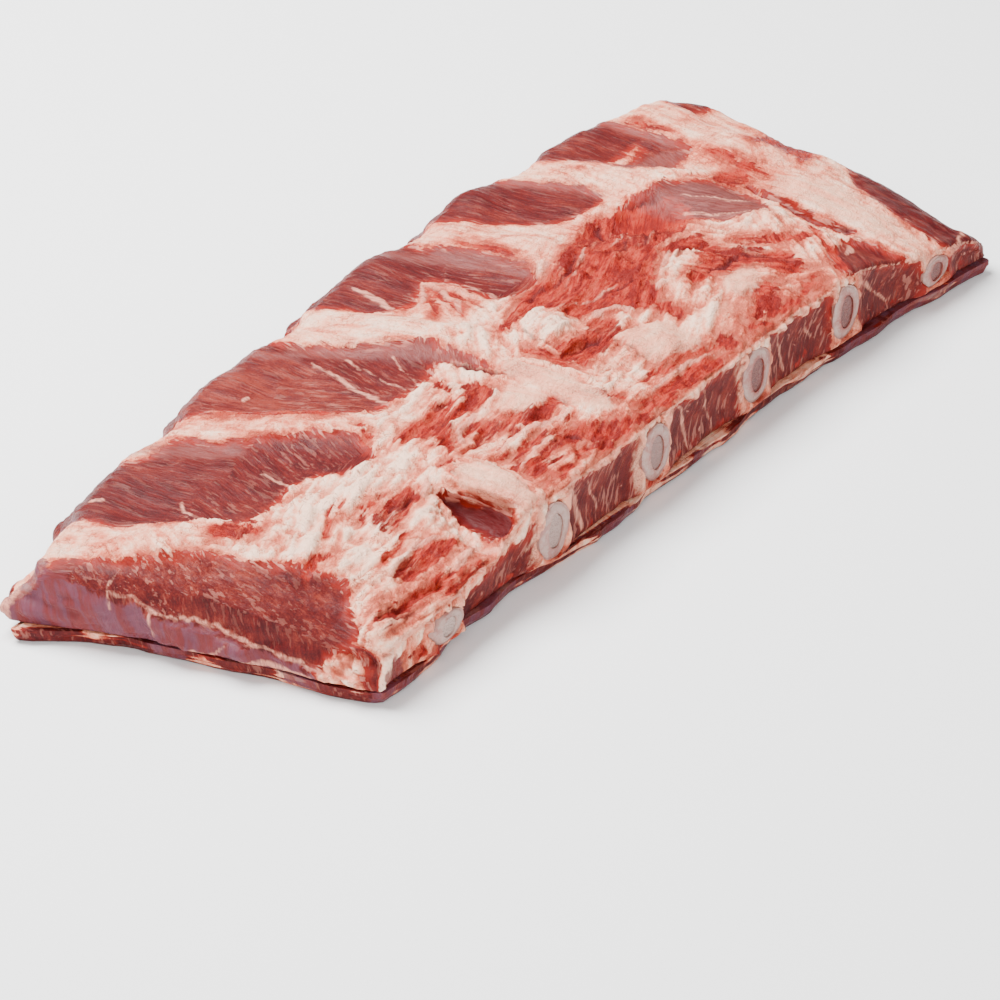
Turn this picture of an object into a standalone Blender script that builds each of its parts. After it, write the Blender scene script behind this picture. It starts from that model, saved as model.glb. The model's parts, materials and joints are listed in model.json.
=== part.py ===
"""A rack of six raw beef ribs, lying bone side up.

The rack is a thick slab of rib meat and fat with six bones running across it. One long side was sawn through the
bones, so that their oval ends and red marrow show there. A thinner sheet of cover meat lies under the slab.

X runs along the rack, Y across it from the sawn side (-Y) to the free side (+Y), and Z up from the table. Positions
inside the rack are worked out in millimetres and scaled to metres when the meshes are made.
"""

import math

import bmesh
import bpy
from mathutils import Vector, noise

MM = 0.001

# Plan of the rack
FREE_SIDE_Y = 79.5
FREE_SIDE_PEAK_X = 50.0
FREE_SIDE_CURVE_FRONT = 0.0004
FREE_SIDE_CURVE_FAR = 0.0006
FREE_CORNER_X = -186.0
FREE_CORNER_CUT = 0.6
SAWN_SIDE_Y = -73.0
SAWN_SIDE_TURN_X = 60.0
SAWN_SIDE_FLARE = 0.0008
FRONT_X_FREE = -199.0
FRONT_X_SAWN = -169.0
FAR_X = 196.0
FAR_CORNER_REACH = 11.0
FAR_TAPER = 14.0

# Heights above the table
SEAM_Z = 5.0
LAYER_GAP = 0.3
THINNEST_SLAB = 2.0
CREST_MID = 37.0
CREST_FREE = 28.0
CREST_SAWN = 33.0
CREST_FALL_FRONT = 13.0
CREST_FALL_FAR = 12.0
CREST_FALL_FAR_MID = 4.0
CREST_BULGE_FREE = 1.8
FRONT_EDGE_FREE = 26.0
FRONT_EDGE_SAWN = 8.0
FAR_EDGE = 23.0
FAR_EDGE_SAWN = 14.0

# Ribs from the front of the rack to its far end: X at the sawn side, X at the free side, bow towards +X between them
RIBS = (
    (-133.0, -178.0, -5.0),
    (-71.0, -107.0, 15.0),
    (-9.0, -26.0, 10.0),
    (55.0, 52.0, 9.0),
    (111.0, 119.0, 17.0),
    (163.0, 184.0, -3.0),
)
BONE_HALF_WIDTH_SAWN = 9.5
BONE_HALF_WIDTH_FREE = 7.5
BONE_HALF_HEIGHT_SAWN = 11.5
BONE_HALF_HEIGHT_FREE = 6.0
BONE_COVER = 2.6
BONE_DIVES_FREE = 3.0
BONE_FLOOR = 7.6
BONE_STANDS_OUT = 0.8
BONE_STOPS_SHORT = 1.2
BONE_CLEARANCE = 0.35
CHANNEL_BEYOND = 25.0
MARROW_SHARE_WIDTH = 0.46
MARROW_SHARE_HEIGHT = 0.62
MARROW_CLEARANCE = 0.3
MARROW_SINKS = 0.4

# Relief between and beside the ribs
RIB_FLAT = 6.0
RIB_SHOULDER = 16.0
WINDOW_DIP_FREE = 4.5
WINDOW_DIP_SAWN = 1.5
MEAT_SWELL_FREE = 9.0
MEAT_SHRINK_SAWN = 3.4
EDGE_ROUND_FREE = 6.5
EDGE_ROUND_SAWN = 2.6
LUMP_SIZE = 26.0
LUMP_HEIGHT = 1.3
RELIEF_FULL_ABOVE = 12.0
EDGE_WOBBLE = 2.2
SAWN_WOBBLE = 0.9
END_BELLY = 2.4
UNDERCUT_X = -98.0
UNDERCUT_SPREAD = 34.0
UNDERCUT_DEPTH = 5.0
UNDERCUT_HEIGHT = 17.0
UNDERCUT_FADE = 0.1

# Single bumps (+) and hollows (-): centre X, centre Y, half length, half width, angle from +X in degrees, height
MOUNDS = (
    (-80.0, -53.0, 20.0, 6.5, 86.0, 5.5),
    (-97.0, -57.0, 17.0, 6.5, 70.0, -9.0),
    (12.0, -14.0, 13.0, 9.0, 35.0, 5.0),
    (-160.0, -64.0, 13.0, 9.0, 20.0, 7.0),
    (142.0, -40.0, 36.0, 4.5, 92.0, -4.0),
    (98.0, 10.0, 22.0, 9.0, -48.0, -3.0),
    (20.0, -44.0, 17.0, 10.0, -20.0, 2.5),
    (-45.0, -48.0, 16.0, 10.0, 60.0, 2.5),
)

# Torn corners that reach out of the outline: corner X and Y, spread along X and Y, reach
FAR_TIP = (184.0, -84.0, 13.0, 10.0, 13.0)
NEAR_TIP = (-206.0, 43.0, 12.0, 10.0, 13.0)

# Edge of the cover meat: how far it wanders and how far its foot draws in
RAGGED_EDGE = 2.4
FOOT_DRAWS_IN = 1.6

# Mesh density: cells along, across and up
MEAT_CELLS = (84, 32, 4)
LAYER_CELLS = (84, 32, 2)
BONE_SIDES = 14
MARROW_SIDES = 8
BONE_STATIONS = 8


def clear_scene():
    """Removes every object of the open scene."""
    for thing in list(bpy.data.objects):
        bpy.data.objects.remove(thing)


def mix(start, end, share):
    """A value between start and end."""
    return start + (end - start) * share


def ease(low, high, value):
    """A smooth step from 0 at low to 1 at high."""
    t = min(1.0, max(0.0, (value - low) / (high - low)))
    return t * t * (3.0 - 2.0 * t)


def free_side_y(x):
    """Outline of the free long side."""
    curve = FREE_SIDE_CURVE_FRONT if x < FREE_SIDE_PEAK_X else FREE_SIDE_CURVE_FAR
    corner = FREE_CORNER_CUT * max(0.0, FREE_CORNER_X - x)
    return FREE_SIDE_Y - curve * (x - FREE_SIDE_PEAK_X) ** 2 - corner


def sawn_side_y(x):
    """Outline of the sawn long side."""
    return SAWN_SIDE_Y - SAWN_SIDE_FLARE * max(0.0, x - SAWN_SIDE_TURN_X) ** 2


def front_x(share):
    """Front end of the rack. The share is 0 at the sawn side and 1 at the free side."""
    return mix(FRONT_X_SAWN, FRONT_X_FREE, share)


def far_x(share):
    """Far end of the rack."""
    corner = FAR_CORNER_REACH * ease(0.45, 0.9, share) * (1.0 - 0.8 * ease(0.88, 1.0, share))
    return FAR_X + corner - FAR_TAPER * max(0.0, 1.0 - 2.0 * share) ** 3


def rib_x(rib, share):
    """Where a rib's centre line lies along the rack."""
    sawn, free, bow = rib
    return mix(sawn, free, share) + 4.0 * bow * share * (1.0 - share)


def rib_distance(x, share):
    """Distance along the rack to the nearest rib."""
    return min(abs(x - rib_x(rib, share)) for rib in RIBS)


def crest_z(x, share):
    """Height of the covered ribs: a low hump across the rack that falls off at both ends of the sawn side."""
    mid = CREST_MID - CREST_FALL_FAR_MID * ease(110.0, 190.0, x)
    if share > 0.5:
        return mix(mid, CREST_FREE, (2.0 * share - 1.0) ** CREST_BULGE_FREE)
    sawn = CREST_SAWN - CREST_FALL_FRONT * ease(-80.0, -150.0, x) - CREST_FALL_FAR * ease(118.0, 172.0, x)
    return mix(mid, sawn, (1.0 - 2.0 * share) ** 2)


def end_ramp(from_edge, run):
    """Rounded rise from 0 at an end of the rack to 1 at its first rib."""
    s = min(1.0, max(0.0, from_edge / max(run, 1.0)))
    return math.sqrt(1.0 - (1.0 - s) ** 2)


def mounds_z(x, y):
    """Height added by the single bumps and hollows."""
    total = 0.0
    for centre_x, centre_y, half_length, half_width, angle, height in MOUNDS:
        turn = math.radians(angle)
        dx, dy = x - centre_x, y - centre_y
        along = (dx * math.cos(turn) + dy * math.sin(turn)) / half_length
        across = (dy * math.cos(turn) - dx * math.sin(turn)) / half_width
        total += height * math.exp(-(along**4 + across**2))
    return total


def edge_drop(distance, radius):
    """How far a rounded edge lies below the surface at a distance from the side."""
    inset = radius - min(radius, max(0.0, distance))
    return radius - math.sqrt(radius**2 - inset**2)


def top_z(x, y, share):
    """Height of the slab's upper face."""
    crest = crest_z(x, share)
    dip = mix(WINDOW_DIP_SAWN, WINDOW_DIP_FREE, ease(0.42, 0.62, share)) * (1.0 - 0.8 * ease(0.75, 1.0, share))
    z = crest - dip * ease(RIB_FLAT, RIB_SHOULDER, rib_distance(x, share))
    front_run = rib_x(RIBS[0], share) - front_x(share)
    front_edge = mix(FRONT_EDGE_SAWN, FRONT_EDGE_FREE, ease(-0.1, 1.05, share))
    z = mix(front_edge, z, end_ramp(x - front_x(share), front_run))
    far_run = far_x(share) - rib_x(RIBS[-1], share)
    far_edge = mix(FAR_EDGE_SAWN, FAR_EDGE, ease(0.0, 0.4, share))
    z = mix(far_edge, z, end_ramp(far_x(share) - x, far_run))
    relief = mounds_z(x, y) + LUMP_HEIGHT * noise.fractal(Vector((x, y, 3.0)) / LUMP_SIZE, 1.0, 2.0, 3)
    z += relief * min(1.0, (z - SEAM_Z) / RELIEF_FULL_ABOVE)
    z -= edge_drop(free_side_y(x) - y, EDGE_ROUND_FREE)
    z -= edge_drop(y - sawn_side_y(x), EDGE_ROUND_SAWN)
    return max(z, SEAM_Z + THINNEST_SLAB)


def tip_reach(tip, x, y):
    """How far a torn corner reaches out at a point of the plan."""
    corner_x, corner_y, spread_x, spread_y, reach = tip
    return reach * math.exp(-(((x - corner_x) / spread_x) ** 2) - ((y - corner_y) / spread_y) ** 2)


def flap_shift(x, y, height_share):
    """Shift along X and Y that pulls out the torn corners, most of it low down."""
    far = tip_reach(FAR_TIP, x, y) * (1.0 - 0.45 * height_share)
    near = tip_reach(NEAR_TIP, x, y) * (1.0 - height_share) ** 2
    return far - near, 0.8 * near - 0.2 * far


def rack_point(along, share):
    """Plan position in the rack for a share along it and a share across it."""
    x = mix(front_x(share), far_x(share), along)
    return x, mix(sawn_side_y(x), free_side_y(x), share)


def undercut(x, z):
    """How far the lower part of the sawn side draws back between the front corner and the second rib."""
    return UNDERCUT_DEPTH * math.exp(-(((x - UNDERCUT_X) / UNDERCUT_SPREAD) ** 4)) * ease(UNDERCUT_HEIGHT, 0.0, z)


def side_offset(x, z, share, height_share):
    """Sideways push of a point near a long side: meat swells between the ribs and shrinks from the sawn bones."""
    gap = ease(7.0, 17.0, rib_distance(x, share))
    belly = math.sin(math.pi * min(1.0, 0.15 + 0.85 * height_share))
    if share > 0.5:
        near = math.exp(-(1.0 - share) / 0.07)
        return near * (MEAT_SWELL_FREE * gap * (0.5 + 0.5 * belly) - 2.0 * (1.0 - belly))
    near = math.exp(-share / 0.035)
    wobble = SAWN_WOBBLE * noise.fractal(Vector((x / 11.0, height_share * 2.0, 7.0)), 1.0, 2.0, 2)
    shrink = gap * (MEAT_SHRINK_SAWN * (0.35 + 0.65 * belly) + wobble)
    return near * shrink + math.exp(-share / UNDERCUT_FADE) * undercut(x, z)


def end_offset(y, along, height_share):
    """Push of a point near an end of the rack, along X: a soft belly with an uneven edge."""
    belly = math.sin(math.pi * min(1.0, 0.1 + 0.9 * height_share)) - 0.5
    wobble = EDGE_WOBBLE * noise.fractal(Vector((y / 19.0, height_share, 11.0)), 1.0, 2.0, 3)
    front = math.exp(-along / 0.03) * (END_BELLY * belly + wobble)
    far = math.exp(-(1.0 - along) / 0.03) * (END_BELLY * belly - wobble)
    return far - front


def cluster(share, power=1.35):
    """Moves evenly spaced shares closer together near 0 and 1."""
    t = 2.0 * share - 1.0
    return 0.5 + 0.5 * math.copysign(1.0 - (1.0 - abs(t)) ** power, t)


def slab_vertex(along, share, up):
    """Maps a point of the unit box to the slab of rib meat."""
    along, share = cluster(along, 1.12), cluster(share)
    x, y = rack_point(along, share)
    z = mix(SEAM_Z + LAYER_GAP, top_z(x, y, share), up)
    shift_x, shift_y = flap_shift(x, y, min(1.0, z / CREST_SAWN + up * 0.4))
    x += end_offset(y, along, up) + shift_x
    y += side_offset(x, z, share, up) + shift_y
    return Vector((x, y, z)) * MM


def layer_vertex(along, share, up):
    """Maps a point of the unit box to the sheet of cover meat, whose edge wanders in and out of the slab's."""
    along, share = cluster(along, 1.12), cluster(share)
    x, y = rack_point(along, share)
    ragged = RAGGED_EDGE * noise.fractal(Vector((x / 23.0, y / 23.0, 19.0)), 1.0, 2.0, 3)
    foot = FOOT_DRAWS_IN * (1.0 - up)
    shift_x, shift_y = flap_shift(x, y, 0.0)
    ends = math.exp(-(1.0 - along) / 0.02) - math.exp(-along / 0.02)
    sides = math.exp(-(1.0 - share) / 0.03) - math.exp(-share / 0.03)
    x += ends * (ragged - foot) + shift_x
    y += sides * (ragged - foot) + shift_y + math.exp(-share / UNDERCUT_FADE) * undercut(x, 0.0)
    return Vector((x, y, mix(0.0, SEAM_Z, up))) * MM


def unit_shell(bm, cells):
    """Adds the six gridded faces of a box from 0 to 1, joined into one closed shell."""
    for first, second, third in ((0, 1, 2), (1, 2, 0), (2, 0, 1)):
        for side in (0.0, 1.0):
            grid = {}
            for i in range(cells[first] + 1):
                for j in range(cells[second] + 1):
                    place = [0.0, 0.0, 0.0]
                    place[first] = i / cells[first]
                    place[second] = j / cells[second]
                    place[third] = side
                    grid[i, j] = bm.verts.new(place)
            for i in range(cells[first]):
                for j in range(cells[second]):
                    bm.faces.new((grid[i, j], grid[i + 1, j], grid[i + 1, j + 1], grid[i, j + 1]))
    bmesh.ops.remove_doubles(bm, verts=bm.verts, dist=0.25 / max(cells))


def lies_at(face, level):
    """Whether a face lies in the level plane at a height."""
    return all(abs(vertex.co.z - level) < 1e-6 for vertex in face.verts)


def shaped_box(name, cells, shape, flat_levels):
    """A closed shell bent by a shape function. The faces on the flat levels become one face each."""
    bm = bmesh.new()
    unit_shell(bm, cells)
    flats = [[face for face in bm.faces if lies_at(face, level)] for level in flat_levels]
    for vertex in bm.verts:
        vertex.co = shape(*vertex.co)
    for faces in flats:
        bmesh.ops.dissolve_faces(bm, faces=faces)
    bmesh.ops.recalc_face_normals(bm, faces=bm.faces)
    return finished(name, bm)


def finished(name, bm):
    """Turns a bmesh into a smooth-shaded object in the scene."""
    mesh = bpy.data.meshes.new(name)
    bm.to_mesh(mesh)
    bm.free()
    mesh.shade_smooth()
    thing = bpy.data.objects.new(name, mesh)
    bpy.context.scene.collection.objects.link(thing)
    return thing


def bone_stations(rib):
    """Centre, half width and half height of a bone at each station, from the sawn end to the free end."""
    low, high = sawn_side_y(rib_x(rib, 0.0)), free_side_y(rib_x(rib, 1.0))
    stations = []
    for k in range(BONE_STATIONS):
        y = mix(low - BONE_STANDS_OUT, high - BONE_STOPS_SHORT, k / (BONE_STATIONS - 1))
        share = min(1.0, max(0.0, (y - low) / (high - low)))
        x = rib_x(rib, share)
        roof = crest_z(x, share) - BONE_COVER - BONE_DIVES_FREE * ease(0.84, 1.0, share)
        sawn_height = min(BONE_HALF_HEIGHT_SAWN, (roof - BONE_FLOOR) / 2.0)
        half_height = mix(sawn_height, BONE_HALF_HEIGHT_FREE, ease(0.0, 0.9, share))
        half_width = mix(BONE_HALF_WIDTH_SAWN, BONE_HALF_WIDTH_FREE, share)
        stations.append((Vector((x, y, roof - half_height)), half_width, half_height))
    return stations


def moved_ends(stations, outward):
    """The same stations with both end stations moved outward along Y."""
    (first, *first_size), *middle, (last, *last_size) = stations
    step = Vector((0.0, outward, 0.0))
    return [(first - step, *first_size), *middle, (last + step, *last_size)]


def oval(centre, half_width, half_height, sides):
    """Points of an upright oval across the bone."""
    turns = (2.0 * math.pi * k / sides for k in range(sides))
    return [centre + Vector((half_width * math.cos(t), 0.0, half_height * math.sin(t))) for t in turns]


def loft(bm, rings):
    """Skins rings of points with triangles and returns their vertices, ring by ring."""
    skin = [[bm.verts.new(point * MM) for point in ring] for ring in rings]
    for ring, following in zip(skin, skin[1:]):
        band(bm, ring, following)
    return skin


def band(bm, ring, following):
    """Joins two rings of equal length with triangles that all lean the same way."""
    count = len(ring)
    for k in range(count):
        after = (k + 1) % count
        bm.faces.new((ring[k], ring[after], following[after]))
        bm.faces.new((ring[k], following[after], following[k]))


def solid_rod(name, stations, sides, grow, share_width=1.0, share_height=1.0):
    """A solid oval rod along the stations."""
    bm = bmesh.new()
    rings = [oval(c, w * share_width + grow, h * share_height + grow, sides) for c, w, h in stations]
    skin = loft(bm, rings)
    bm.faces.new(skin[0])
    bm.faces.new(skin[-1])
    bmesh.ops.recalc_face_normals(bm, faces=bm.faces)
    return finished(name, bm)


def hollow_rod(name, stations):
    """A bone's hard wall: an oval tube, open at both ends for the marrow."""
    bm = bmesh.new()
    outer = loft(bm, [oval(c, w, h, BONE_SIDES) for c, w, h in stations])
    bore = [
        oval(c, w * MARROW_SHARE_WIDTH + MARROW_CLEARANCE, h * MARROW_SHARE_HEIGHT + MARROW_CLEARANCE, BONE_SIDES)
        for c, w, h in stations
    ]
    inner = loft(bm, bore)
    band(bm, outer[0], inner[0])
    band(bm, outer[-1], inner[-1])
    bmesh.ops.recalc_face_normals(bm, faces=bm.faces)
    return finished(name, bm)


def surface(name, colour, roughness):
    """A plain shader with the part's colour."""
    material = bpy.data.materials.new(name)
    material.use_nodes = True
    shader = material.node_tree.nodes["Principled BSDF"]
    shader.inputs["Base Color"].default_value = (*colour, 1.0)
    shader.inputs["Roughness"].default_value = roughness
    shader.inputs["Metallic"].default_value = 0.0
    return material


def bone_with_marrow(number, rib, bone_finish, marrow_finish):
    """One rib bone and the marrow that fills it."""
    stations = bone_stations(rib)
    bone = hollow_rod(f"rib_bone_{number}", stations)
    bone.data.materials.append(bone_finish)
    sunk = moved_ends(stations, -MARROW_SINKS)
    marrow = solid_rod(f"marrow_{number}", sunk, MARROW_SIDES, 0.0, MARROW_SHARE_WIDTH, MARROW_SHARE_HEIGHT)
    marrow.data.materials.append(marrow_finish)
    return [bone, marrow]


def bone_cutters():
    """One rod for each bone, a little larger and longer, that opens its channel through the slab."""
    cutters = bpy.data.collections.new("bone_channels")
    bpy.context.scene.collection.children.link(cutters)
    for number, rib in enumerate(RIBS, start=1):
        stations = bone_stations(rib)
        beyond = moved_ends(stations, CHANNEL_BEYOND)
        reach = [beyond[0], *stations, beyond[-1]]
        cutter = solid_rod(f"channel_{number}", reach, BONE_SIDES, BONE_CLEARANCE)
        bpy.context.scene.collection.objects.unlink(cutter)
        cutters.objects.link(cutter)
        cutter.hide_render = True
        cutter.display_type = "WIRE"
    return cutters


def meat_slab(finish):
    """The slab of rib meat and fat, with a channel for each bone."""
    slab = shaped_box("rib_meat", MEAT_CELLS, slab_vertex, (0.0,))
    slab.data.materials.append(finish)
    channels = slab.modifiers.new("bone channels", "BOOLEAN")
    channels.operation = "DIFFERENCE"
    channels.operand_type = "COLLECTION"
    channels.collection = bone_cutters()
    channels.solver = "EXACT"
    return slab


def cover_layer(finish):
    """The thin sheet of cover meat that the slab lies on."""
    layer = shaped_box("cover_meat", LAYER_CELLS, layer_vertex, (0.0, 1.0))
    layer.data.materials.append(finish)
    return layer


def centre_on_table(pieces, helpers):
    """Parents everything to one empty and moves it, so that the origin is under the middle of the pieces."""
    corners = [Vector(corner) for piece in pieces for corner in piece.bound_box]
    low = Vector(min(c[axis] for c in corners) for axis in range(3))
    high = Vector(max(c[axis] for c in corners) for axis in range(3))
    rack = bpy.data.objects.new("rack_origin", None)
    bpy.context.scene.collection.objects.link(rack)
    for thing in pieces + helpers:
        thing.parent = rack
    rack.location = (-(low.x + high.x) / 2.0, -(low.y + high.y) / 2.0, -low.z)


def main():
    """Builds the rack."""
    clear_scene()
    meat = surface("raw_beef", (0.42, 0.10, 0.08), 0.35)
    cover = surface("cover_beef", (0.36, 0.09, 0.10), 0.35)
    bone = surface("rib_bone", (0.72, 0.66, 0.58), 0.5)
    marrow = surface("marrow", (0.45, 0.12, 0.09), 0.5)
    pieces = [meat_slab(meat), cover_layer(cover)]
    for number, rib in enumerate(RIBS, start=1):
        pieces += bone_with_marrow(number, rib, bone, marrow)
    centre_on_table(pieces, list(bpy.data.collections["bone_channels"].objects))


main()
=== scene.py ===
"""Looks of a rack of six raw beef ribs that lies bone side up.

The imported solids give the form: a slab of rib meat with a sawn bone in each of its six channels, marrow in
each bone and a sheet of cover meat below. This script rebuilds them as fine meshes and gives them the finish
of fresh meat.

Places on the rack are written in millimetres of its plan: X runs along the rack, Y across it from the sawn
side to the free side, and Z up from the table. PLAN_SHIFT says where the plan's origin lies in the row
frame, and REACH how far from a border the depth inside a tissue is told apart.
"""

from __future__ import annotations

import json
import logging
import math
from dataclasses import dataclass, field
from enum import Enum
from typing import Sequence

import bmesh
import bpy
import numpy as np
from bmesh.types import BMEdge, BMVert
from bpy.types import Material, Mesh, Node, NodeSocket, NodeTree, Object
from mathutils import Matrix, Vector
from mathutils.kdtree import KDTree

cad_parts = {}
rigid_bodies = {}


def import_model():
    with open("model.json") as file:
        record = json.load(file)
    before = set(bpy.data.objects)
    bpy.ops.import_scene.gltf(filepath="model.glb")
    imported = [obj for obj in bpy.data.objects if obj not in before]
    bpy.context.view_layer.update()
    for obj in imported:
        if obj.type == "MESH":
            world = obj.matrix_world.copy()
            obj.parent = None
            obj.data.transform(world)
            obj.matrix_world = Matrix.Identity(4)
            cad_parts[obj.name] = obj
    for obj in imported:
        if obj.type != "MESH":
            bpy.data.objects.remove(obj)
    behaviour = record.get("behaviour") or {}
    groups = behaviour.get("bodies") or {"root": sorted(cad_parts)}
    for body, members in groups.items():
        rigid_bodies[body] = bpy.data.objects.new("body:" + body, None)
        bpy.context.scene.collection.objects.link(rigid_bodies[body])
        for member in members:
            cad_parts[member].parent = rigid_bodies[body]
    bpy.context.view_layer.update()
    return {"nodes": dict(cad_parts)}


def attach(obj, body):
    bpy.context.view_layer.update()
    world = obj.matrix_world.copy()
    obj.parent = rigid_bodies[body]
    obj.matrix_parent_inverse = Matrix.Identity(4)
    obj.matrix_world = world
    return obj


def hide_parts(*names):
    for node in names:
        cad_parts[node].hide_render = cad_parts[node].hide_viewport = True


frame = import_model()

LOG = logging.getLogger("raw_beef_ribs")
MM = 0.001
PLAN_SHIFT = np.array((0.249, -0.766, 0.0))
REACH = 8.0
FAR_AWAY = 1000.0
Points = Sequence[tuple[float, float]]


def ease(low: float, high: float, value: np.ndarray | float) -> np.ndarray:
    """A smooth step from 0 at low to 1 at high."""
    t = np.clip((np.asarray(value, float) - low) / (high - low), 0.0, 1.0)
    return t * t * (3.0 - 2.0 * t)


def to_plan(metres: np.ndarray) -> np.ndarray:
    """Row frame metres as plan millimetres."""
    return metres / MM - PLAN_SHIFT


def to_row(plan: np.ndarray) -> np.ndarray:
    """Plan millimetres as row frame metres."""
    return (plan + PLAN_SHIFT) * MM


class Noise:
    """Smooth noise that is the same on every run."""

    def __init__(self, seed: int) -> None:
        """Draws the lattice's directions.

        Args:
            seed: Picks the pattern.
        """
        draw = np.random.default_rng(seed)
        self.order = np.concatenate([draw.permutation(256)] * 3)
        directions = draw.normal(size=(256, 3))
        self.directions = directions / np.linalg.norm(directions, axis=1, keepdims=True)

    def at(self, points: np.ndarray, size: float | Sequence[float]) -> np.ndarray:
        """Noise with one lump for each cell of a size.

        Args:
            points: Places, one row each.
            size: Cell size, in the unit of the points, or one for each axis.

        Returns:
            A value from about -1 to 1 for each row.
        """
        scaled = points / np.asarray(size, float)
        cell = np.floor(scaled).astype(int)
        inside = scaled - cell
        fade = inside**3 * (inside * (inside * 6.0 - 15.0) + 10.0)
        cell &= 255
        total = np.zeros(len(points))
        for corner in np.ndindex(2, 2, 2):
            step = np.array(corner)
            x, y, z = (cell + step).T
            toward = self.directions[self.order[self.order[self.order[x] + y] + z]]
            weight = np.prod(np.where(step, fade, 1.0 - fade), axis=1)
            total += weight * np.einsum("ij,ij->i", toward, inside - step)
        return total * 1.6

    def fractal(self, points: np.ndarray, size: float | Sequence[float], octaves: int) -> np.ndarray:
        """Layers of noise, each half as large and half as strong as the one before.

        Args:
            points: Places, one row each.
            size: Cell size of the first layer.
            octaves: Number of layers.

        Returns:
            A value from about -1 to 1 for each row.
        """
        sizes = np.asarray(size, float)
        layers = [self.at(points + 17.3 * k, sizes / 2.0**k) / 2.0**k for k in range(octaves)]
        return np.sum(layers, axis=0)


def smooth_line(points: Points, closed: bool, steps: int = 5) -> np.ndarray:
    """A curve through given points.

    Args:
        points: The points to pass through.
        closed: Whether the curve comes back to its start.
        steps: Straight pieces between two points.

    Returns:
        The points of the finer line.
    """
    given = np.array(points, float)
    if len(given) < 3:
        return given
    count = len(given) if closed else len(given) - 1
    ends = (given[-1:], given[:2]) if closed else (given[:1], given[-1:])
    padded = np.vstack([ends[0], given, ends[1]])
    t = np.linspace(0.0, 1.0, steps, endpoint=False)[:, None]
    pieces = []
    for k in range(count):
        before, start, end, after = padded[k : k + 4]
        bend = 2 * before - 5 * start + 4 * end - after
        twist = 3 * start - before - 3 * end + after
        pieces.append(start + 0.5 * t * ((end - before) + t * (bend + t * twist)))
    if not closed:
        pieces.append(given[-1:])
    return np.vstack(pieces)


def distance_to_pieces(
    points: np.ndarray, starts: np.ndarray, ends: np.ndarray, widths: np.ndarray
) -> np.ndarray:
    """How deep points lie inside a chain of straight pieces that have a width.

    Args:
        points: Places on a plane, one row each.
        starts: First end of each piece.
        ends: Second end of each piece.
        widths: Half width at each end of each piece.

    Returns:
        Depth of each point: positive inside, negative outside.
    """
    best = np.full(len(points), -1e9)
    for start, end, (low, high) in zip(starts, ends, widths):
        along = end - start
        share = np.clip((points - start) @ along / max(along @ along, 1e-9), 0.0, 1.0)
        off = points - start - share[:, None] * along
        best = np.maximum(best, low + (high - low) * share - np.hypot(off[:, 0], off[:, 1]))
    return best


class Tissue(Enum):
    """Kinds of surface on the rack. Each value names the mesh attribute that holds the depth inside it."""

    LEAN = "lean"
    BLOOD = "blood"
    FILM = "film"
    MAUVE = "mauve"
    SINEW = "sinew"
    BARE = "bare"
    CREASE = "crease"
    FAT = "fat"


class Tone(Enum):
    """Values from 0 to 1 that shift a finish. The value names the mesh attribute."""

    PINK = "pink"
    DARK = "dark"
    VEIN = "vein"
    # HOLLOW is painted shade: it darkens and reddens the fat where the relief sinks.
    HOLLOW = "hollow"


LEAN, BLOOD, FILM, MAUVE, SINEW, BARE, CREASE, FAT = Tissue
PINK, DARK, VEIN, HOLLOW = Tone
COVERED_BY_FAT = (LEAN, BLOOD, FILM, MAUVE)


@dataclass(frozen=True)
class Patch:
    """An area of one tissue inside a closed outline, with how far it rises from the surface."""

    tissue: Tissue
    outline: Points
    rise: float = 0.0
    edge: float = 2.0

    def depth(self, points: np.ndarray) -> np.ndarray:
        """How deep each point lies inside the outline, in mm."""
        line = smooth_line(self.outline, closed=True)
        after = np.roll(line, -1, axis=0)
        depth = distance_to_pieces(points, line, after, np.zeros((len(line), 2)))
        inside = np.zeros(len(points), bool)
        x, y = points.T
        for (x0, y0), (x1, y1) in zip(line, after):
            if y0 != y1:
                inside ^= ((y0 > y) != (y1 > y)) & (x < (x1 - x0) * (y - y0) / (y1 - y0) + x0)
        return np.where(inside, -depth, depth)


@dataclass(frozen=True)
class Stroke:
    """A strand of one tissue along a curve, with its half width at the start, between and at the end."""

    tissue: Tissue
    path: Points
    width: float
    end_width: float = 0.3
    rise: float = 0.0
    edge: float = 0.8

    @property
    def outline(self) -> Points:
        """The points that bound the strand, for the first rough test."""
        return self.path

    def depth(self, points: np.ndarray) -> np.ndarray:
        """How deep each point lies inside the strand, in mm."""
        line = smooth_line(self.path, closed=False)
        share = np.linspace(0.0, 1.0, len(line))
        swell = self.end_width + (self.width - self.end_width) * np.sqrt(np.sin(math.pi * share).clip(0.0))
        widths = np.column_stack([swell[:-1], swell[1:]])
        return distance_to_pieces(points, line[:-1], line[1:], widths)


def soft_spot(
    points: np.ndarray, centre: tuple[float, float], spread: tuple[float, float], angle: float
) -> np.ndarray:
    """A value that is 1 at a centre and fades over a spread, turned by an angle in degrees."""
    turn = math.radians(angle)
    offset = points - np.array(centre)
    along = (offset @ np.array((math.cos(turn), math.sin(turn)))) / spread[0]
    across = (offset @ np.array((-math.sin(turn), math.cos(turn)))) / spread[1]
    return np.exp(-(along**2) - across**2)


@dataclass(frozen=True)
class Tint:
    """A soft spot where a tone is higher or lower."""

    tone: Tone
    centre: tuple[float, float]
    spread: tuple[float, float]
    amount: float
    angle: float = 0.0

    def value(self, points: np.ndarray) -> np.ndarray:
        """What the spot adds at each point."""
        return self.amount * soft_spot(points, self.centre, self.spread, self.angle)


@dataclass(frozen=True)
class Bump:
    """A single rounded rise or hollow of the upper face, in mm."""

    centre: tuple[float, float]
    spread: tuple[float, float]
    height: float
    angle: float = 0.0

    def value(self, points: np.ndarray) -> np.ndarray:
        """What the bump adds to the height at each point."""
        return self.height * soft_spot(points, self.centre, self.spread, self.angle)


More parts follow.
